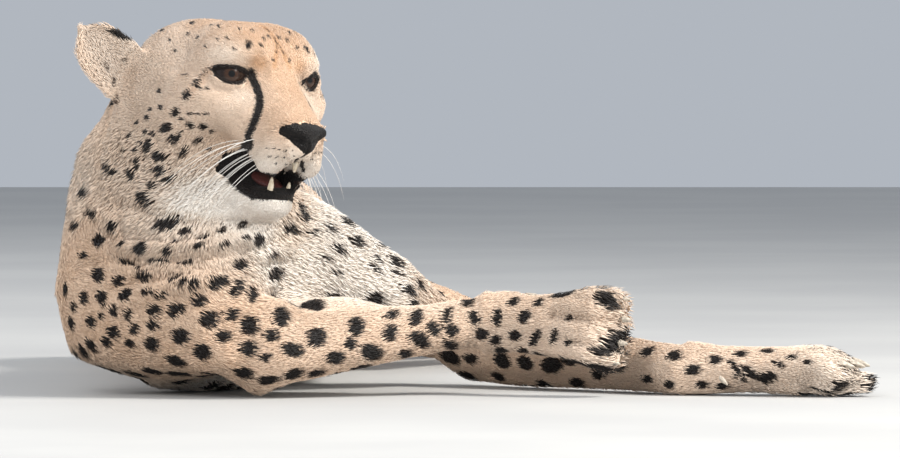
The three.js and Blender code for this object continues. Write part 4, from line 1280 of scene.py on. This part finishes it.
def make_coat(name, label_pick, count, seed):
    """One piece of solid tufts, each with its own length, width, lift, bend and marking values."""
    roots, normals, way, strongest, carried, draw = roots_for(label_pick, count, seed)
    label = skin_label[strongest]
    length, width, lift = (carried(v) for v in (skin_length, skin_width, skin_lift))
    length = length * draw.uniform(.75, 1.25, count) * MM
    width = width * draw.uniform(.8, 1.2, count) * MM
    locks = wave(roots, 7, seed + 50)
    yaw = np.radians(7 * draw.normal(size=count) + 13 * locks + 8 * wave(roots, 22, seed + 90))
    rise = np.radians(lift * (1 + .22 * draw.normal(size=count) + .30 * wave(roots, 9, seed + 70)))
    side = np.cross(normals, way)
    way = way * np.cos(yaw)[:, None] + side * np.sin(yaw)[:, None]
    side = np.cross(normals, way)
    l, w = length[:, None], width[:, None]
    out, forth = np.sin(rise)[:, None], np.cos(rise)[:, None]
    bend = draw.normal(size=(count, 1)) * .10
    start = roots - normals * .5 * MM - way * l * .08
    middle = roots + (way * forth * .42 + normals * out * .62) * l + side * l * bend * .3
    end = roots + (way * forth + normals * out * .85) * l + side * l * bend
    points = np.stack([start, middle - side * w / 2, middle + side * w / 2,
                       middle + normals * w * .32, end], 1)
    points[:, :, 2] = np.maximum(points[:, :, 2], TUFT_FLOOR)
    faces = (np.arange(count)[:, None, None] * TUFT_POINTS + TUFT_FACES).reshape(-1)
    mesh = bpy.data.meshes.new(name)
    mesh.vertices.add(count * TUFT_POINTS)
    mesh.vertices.foreach_set("co", points.astype(np.float32).ravel())
    mesh.loops.add(len(faces))
    mesh.loops.foreach_set("vertex_index", faces.astype(np.int32))
    mesh.polygons.add(count * len(TUFT_FACES))
    mesh.polygons.foreach_set("loop_start", np.arange(0, len(faces), 3, dtype=np.int32))
    mesh.update(calc_edges=True)
    values = {**markings(roots, normals, label, marks), "pale": carried(skin_marks["pale"])}
    own = np.clip(.5 + .25 * draw.normal(size=count) + .25 * locks, 0, 1)
    put_values(mesh, {k: np.repeat(values[k], TUFT_POINTS) for k in ("spot", "pale", "dark", "rufous")})
    put_values(mesh, {"own": np.repeat(own, TUFT_POINTS), "tip": np.tile(TUFT_TIPS, count)})
    place = unwrapped(roots, label)[:, None] + TUFT_PATCH * PATCH
    layer = mesh.uv_layers.new(name="OFBake")
    layer.data.foreach_set("uv", place.reshape(-1, 2)[faces].astype(np.float32).ravel())
    piece = bpy.data.objects.new(name, mesh)
    bpy.context.collection.objects.link(piece)
    smooth(piece)
    dressed(piece, coat_finish, "coat")


skin_length, skin_width, skin_lift, skin_thick = coat_measures(
    skin_points, skin_normals, skin_label, skin_marks, skin_share)
skin_tri = rows_of(skin.data.polygons, "vertices", 3, np.int32)
tri_label = skin_label[skin_tri[:, 0]]
tri_forward = head_coords(skin_points[skin_tri[:, 0]])[:, 0]
coat_finish = tuft_material()
for seed, (name, parts, count) in enumerate(COATS):
    pick = is_any(tri_label, *parts)
    if name == "coat_face":
        pick &= tri_forward > FACE_LIMIT
    if name == "coat_crown":
        pick &= (tri_forward <= FACE_LIMIT) | is_any(tri_label, "ear")
    make_coat(name, pick, count // (1), COAT_SEED + seed)


# ---------------------------------------------------------------- eyes, teeth, claws, tongue
def head_move(a, b, c):
    return Vector(head_point(a, b, c) - head_point(0, 0, 0))


def rounded_copy(name, nodes, material, slot, moves=None):
    """One piece from copies of hard nodes, merged, rounded and smooth, and moved where moves says so."""
    shape = bmesh.new()
    for node in nodes:
        grown_copy(shape, node, 0, (moves or {}).get(node, Vector()))
    piece = applied(meshed(shape, name), "SUBSURF", levels=2, render_levels=2)
    smooth(piece)
    dressed(piece, material, slot, *nodes)


def make_eye(eye):
    """A ball with a slightly raised clear front over the iris."""
    shape = bmesh.new()
    bmesh.ops.create_uvsphere(shape, u_segments=64, v_segments=40, radius=EYE_RADIUS,
                              matrix=placed([eye.across, eye.up, eye.gaze], eye.centre))
    for v in shape.verts:
        away = np.array(v.co) - eye.centre
        front = unit(away) @ eye.gaze
        v.co = eye.centre + away * (1 + .05 * step(front, .86, 1.0))
    piece = meshed(shape, eye.side + "_eyeball")
    smooth(piece)
    dressed(piece, eye_material(eye), "eye", eye.side + "_eye")


for eye in EYES:
    make_eye(eye)

horn = plain_material("claw_horn", (.30, .26, .21), (.52, .46, .38), 420.0, .38)
ivory = plain_material("tooth_ivory", (.46, .38, .27), (.60, .53, .42), 300.0, .3, .08)
# the tongue's own red, darkened far as painted shade inside the mouth
tongue_skin = plain_material("tongue_skin", (.035, .010, .009), (.075, .022, .020), 900.0, .5, .6)
for side in SIDES:
    for end in ("fore", "hind"):
        nodes = [f"{side}_{end}_claw_{i}" for i in range(1, 5)]
        nodes += [f"{side}_fore_dewclaw"] if end == "fore" else []
        rounded_copy(f"{side}_{end}_claws", nodes, horn, "horn")
rounded_copy("canines", [f"{row}_{side}_canine" for row in ("upper", "lower") for side in SIDES],
             ivory, "tooth",
             # the upper left one stands free of the lip and the upper right one behind it
             {"upper_left_canine": head_move(9, -9, 5), "upper_right_canine": head_move(0, 0, 9),
              "lower_right_canine": head_move(0, 0, 3)})
rounded_copy("tongue_body", ["tongue"], tongue_skin, "tongue")


# ---------------------------------------------------------------- whiskers
HAIR_PARTS, HAIR_SIDES, HAIR_RADIUS = 9, 5, .23 * MM
WHISKER_SEED = 5


def strand(shape, middle, way, droop, length):
    """A thin tapered rod that leaves along one direction and bends towards another."""
    rings = []
    for i in range(HAIR_PARTS + 1):
        t = i / HAIR_PARTS
        heading = unit(unit(way) + droop * t)
        axis = Vector(heading).to_track_quat("Z", "Y").to_matrix().to_4x4()
        ring = bmesh.ops.create_circle(shape, segments=HAIR_SIDES,
                                       radius=HAIR_RADIUS * (1 - .85 * t ** 1.5),
                                       matrix=Matrix.Translation(Vector(middle)) @ axis)["verts"]
        rings.append(list({edge for v in ring for edge in v.link_edges}))
        middle = middle + heading * length / HAIR_PARTS
    for first, second in zip(rings, rings[1:]):
        bmesh.ops.bridge_loops(shape, edges=first + second)
    for end in (rings[0], rings[-1]):
        bmesh.ops.holes_fill(shape, edges=end, sides=HAIR_SIDES)


def make_whiskers():
    """Four rows of four whiskers on each side, longer towards the cheek and lower row by row."""
    shape = bmesh.new()
    draw = np.random.default_rng(WHISKER_SEED)
    droop = -HEAD_AXES[2] * 1.25 - HEAD_AXES[0] * .3
    for side in (1, -1):
        for row in range(4):
            for k in range(4):
                a, b, c = 42 - 6.5 * k + row, (17 + 2.8 * k) * side, -44 - 6 * row + draw.normal() * .8
                root = np.array(marks.tree.find_nearest(Vector(head_point(a, b, c)))[0])
                way = (HEAD_AXES[1] * side * (.9 + .1 * row) - HEAD_AXES[0] * (.15 + .15 * k)
                       - HEAD_AXES[2] * (.22 + .24 * row) + draw.normal(size=3) * .05)
                strand(shape, root, way, droop, (48 + 26 * draw.random() + 4 * k) * MM)
    hair = plain_material("whisker_hair", (.78, .75, .70), (.93, .91, .87), 200.0, .35)
    dressed(meshed(shape, "whiskers"), hair, "pale_coat")


make_whiskers()


# ---------------------------------------------------------------- floor and light
FLOOR_HALF = 7.0
SKY_COLOUR, SKY_STRENGTH = (.80, .86, .95, 1), .55


def make_floor():
    shape = bmesh.new()
    bmesh.ops.create_grid(shape, x_segments=2, y_segments=2, size=FLOOR_HALF)
    floor = meshed(shape, "floor")
    floor.data.materials.append(
        plain_material("pale_floor", (.45, .45, .445), (.49, .49, .48), 3.0, .55, .02))


def soft_light(name, place, aim, size, power, colour, mirrored=True):
    """A round lamp that shines from a place at an aim; mirrored is whether gloss shows it."""
    data = bpy.data.lights.new(name, "AREA")
    data.shape, data.size, data.energy, data.color = "DISK", size, power, colour
    lamp = bpy.data.objects.new(name, data)
    bpy.context.collection.objects.link(lamp)
    lamp.location = place
    lamp.rotation_euler = (Vector(aim) - Vector(place)).to_track_quat("-Z", "Y").to_euler()
    lamp.visible_glossy = mirrored


make_floor()
soft_light("key_light", (2.0, -.9, 2.7), (0, -.2, .15), 1.1, 138, (1.0, .96, .90))
soft_light("front_light", (-1.6, -3.2, 1.9), (0, -.3, .15), 2.6, 108, (1.0, .99, .97), False)
soft_light("low_light", (2.9, -1.8, .95), (.05, -.15, .12), 1.0, 66, (1.0, .97, .93), False)
soft_light("back_light", (-2.4, 2.4, 2.2), (0, 0, .1), 2.2, 45, (1.0, 1.0, 1.0))
world = bpy.data.worlds.new("studio")
world.use_nodes = True
sky = world.node_tree.nodes["Background"].inputs
sky["Color"].default_value, sky["Strength"].default_value = SKY_COLOUR, SKY_STRENGTH
bpy.context.scene.world = world
bpy.context.scene.view_settings.view_transform = "Standard"
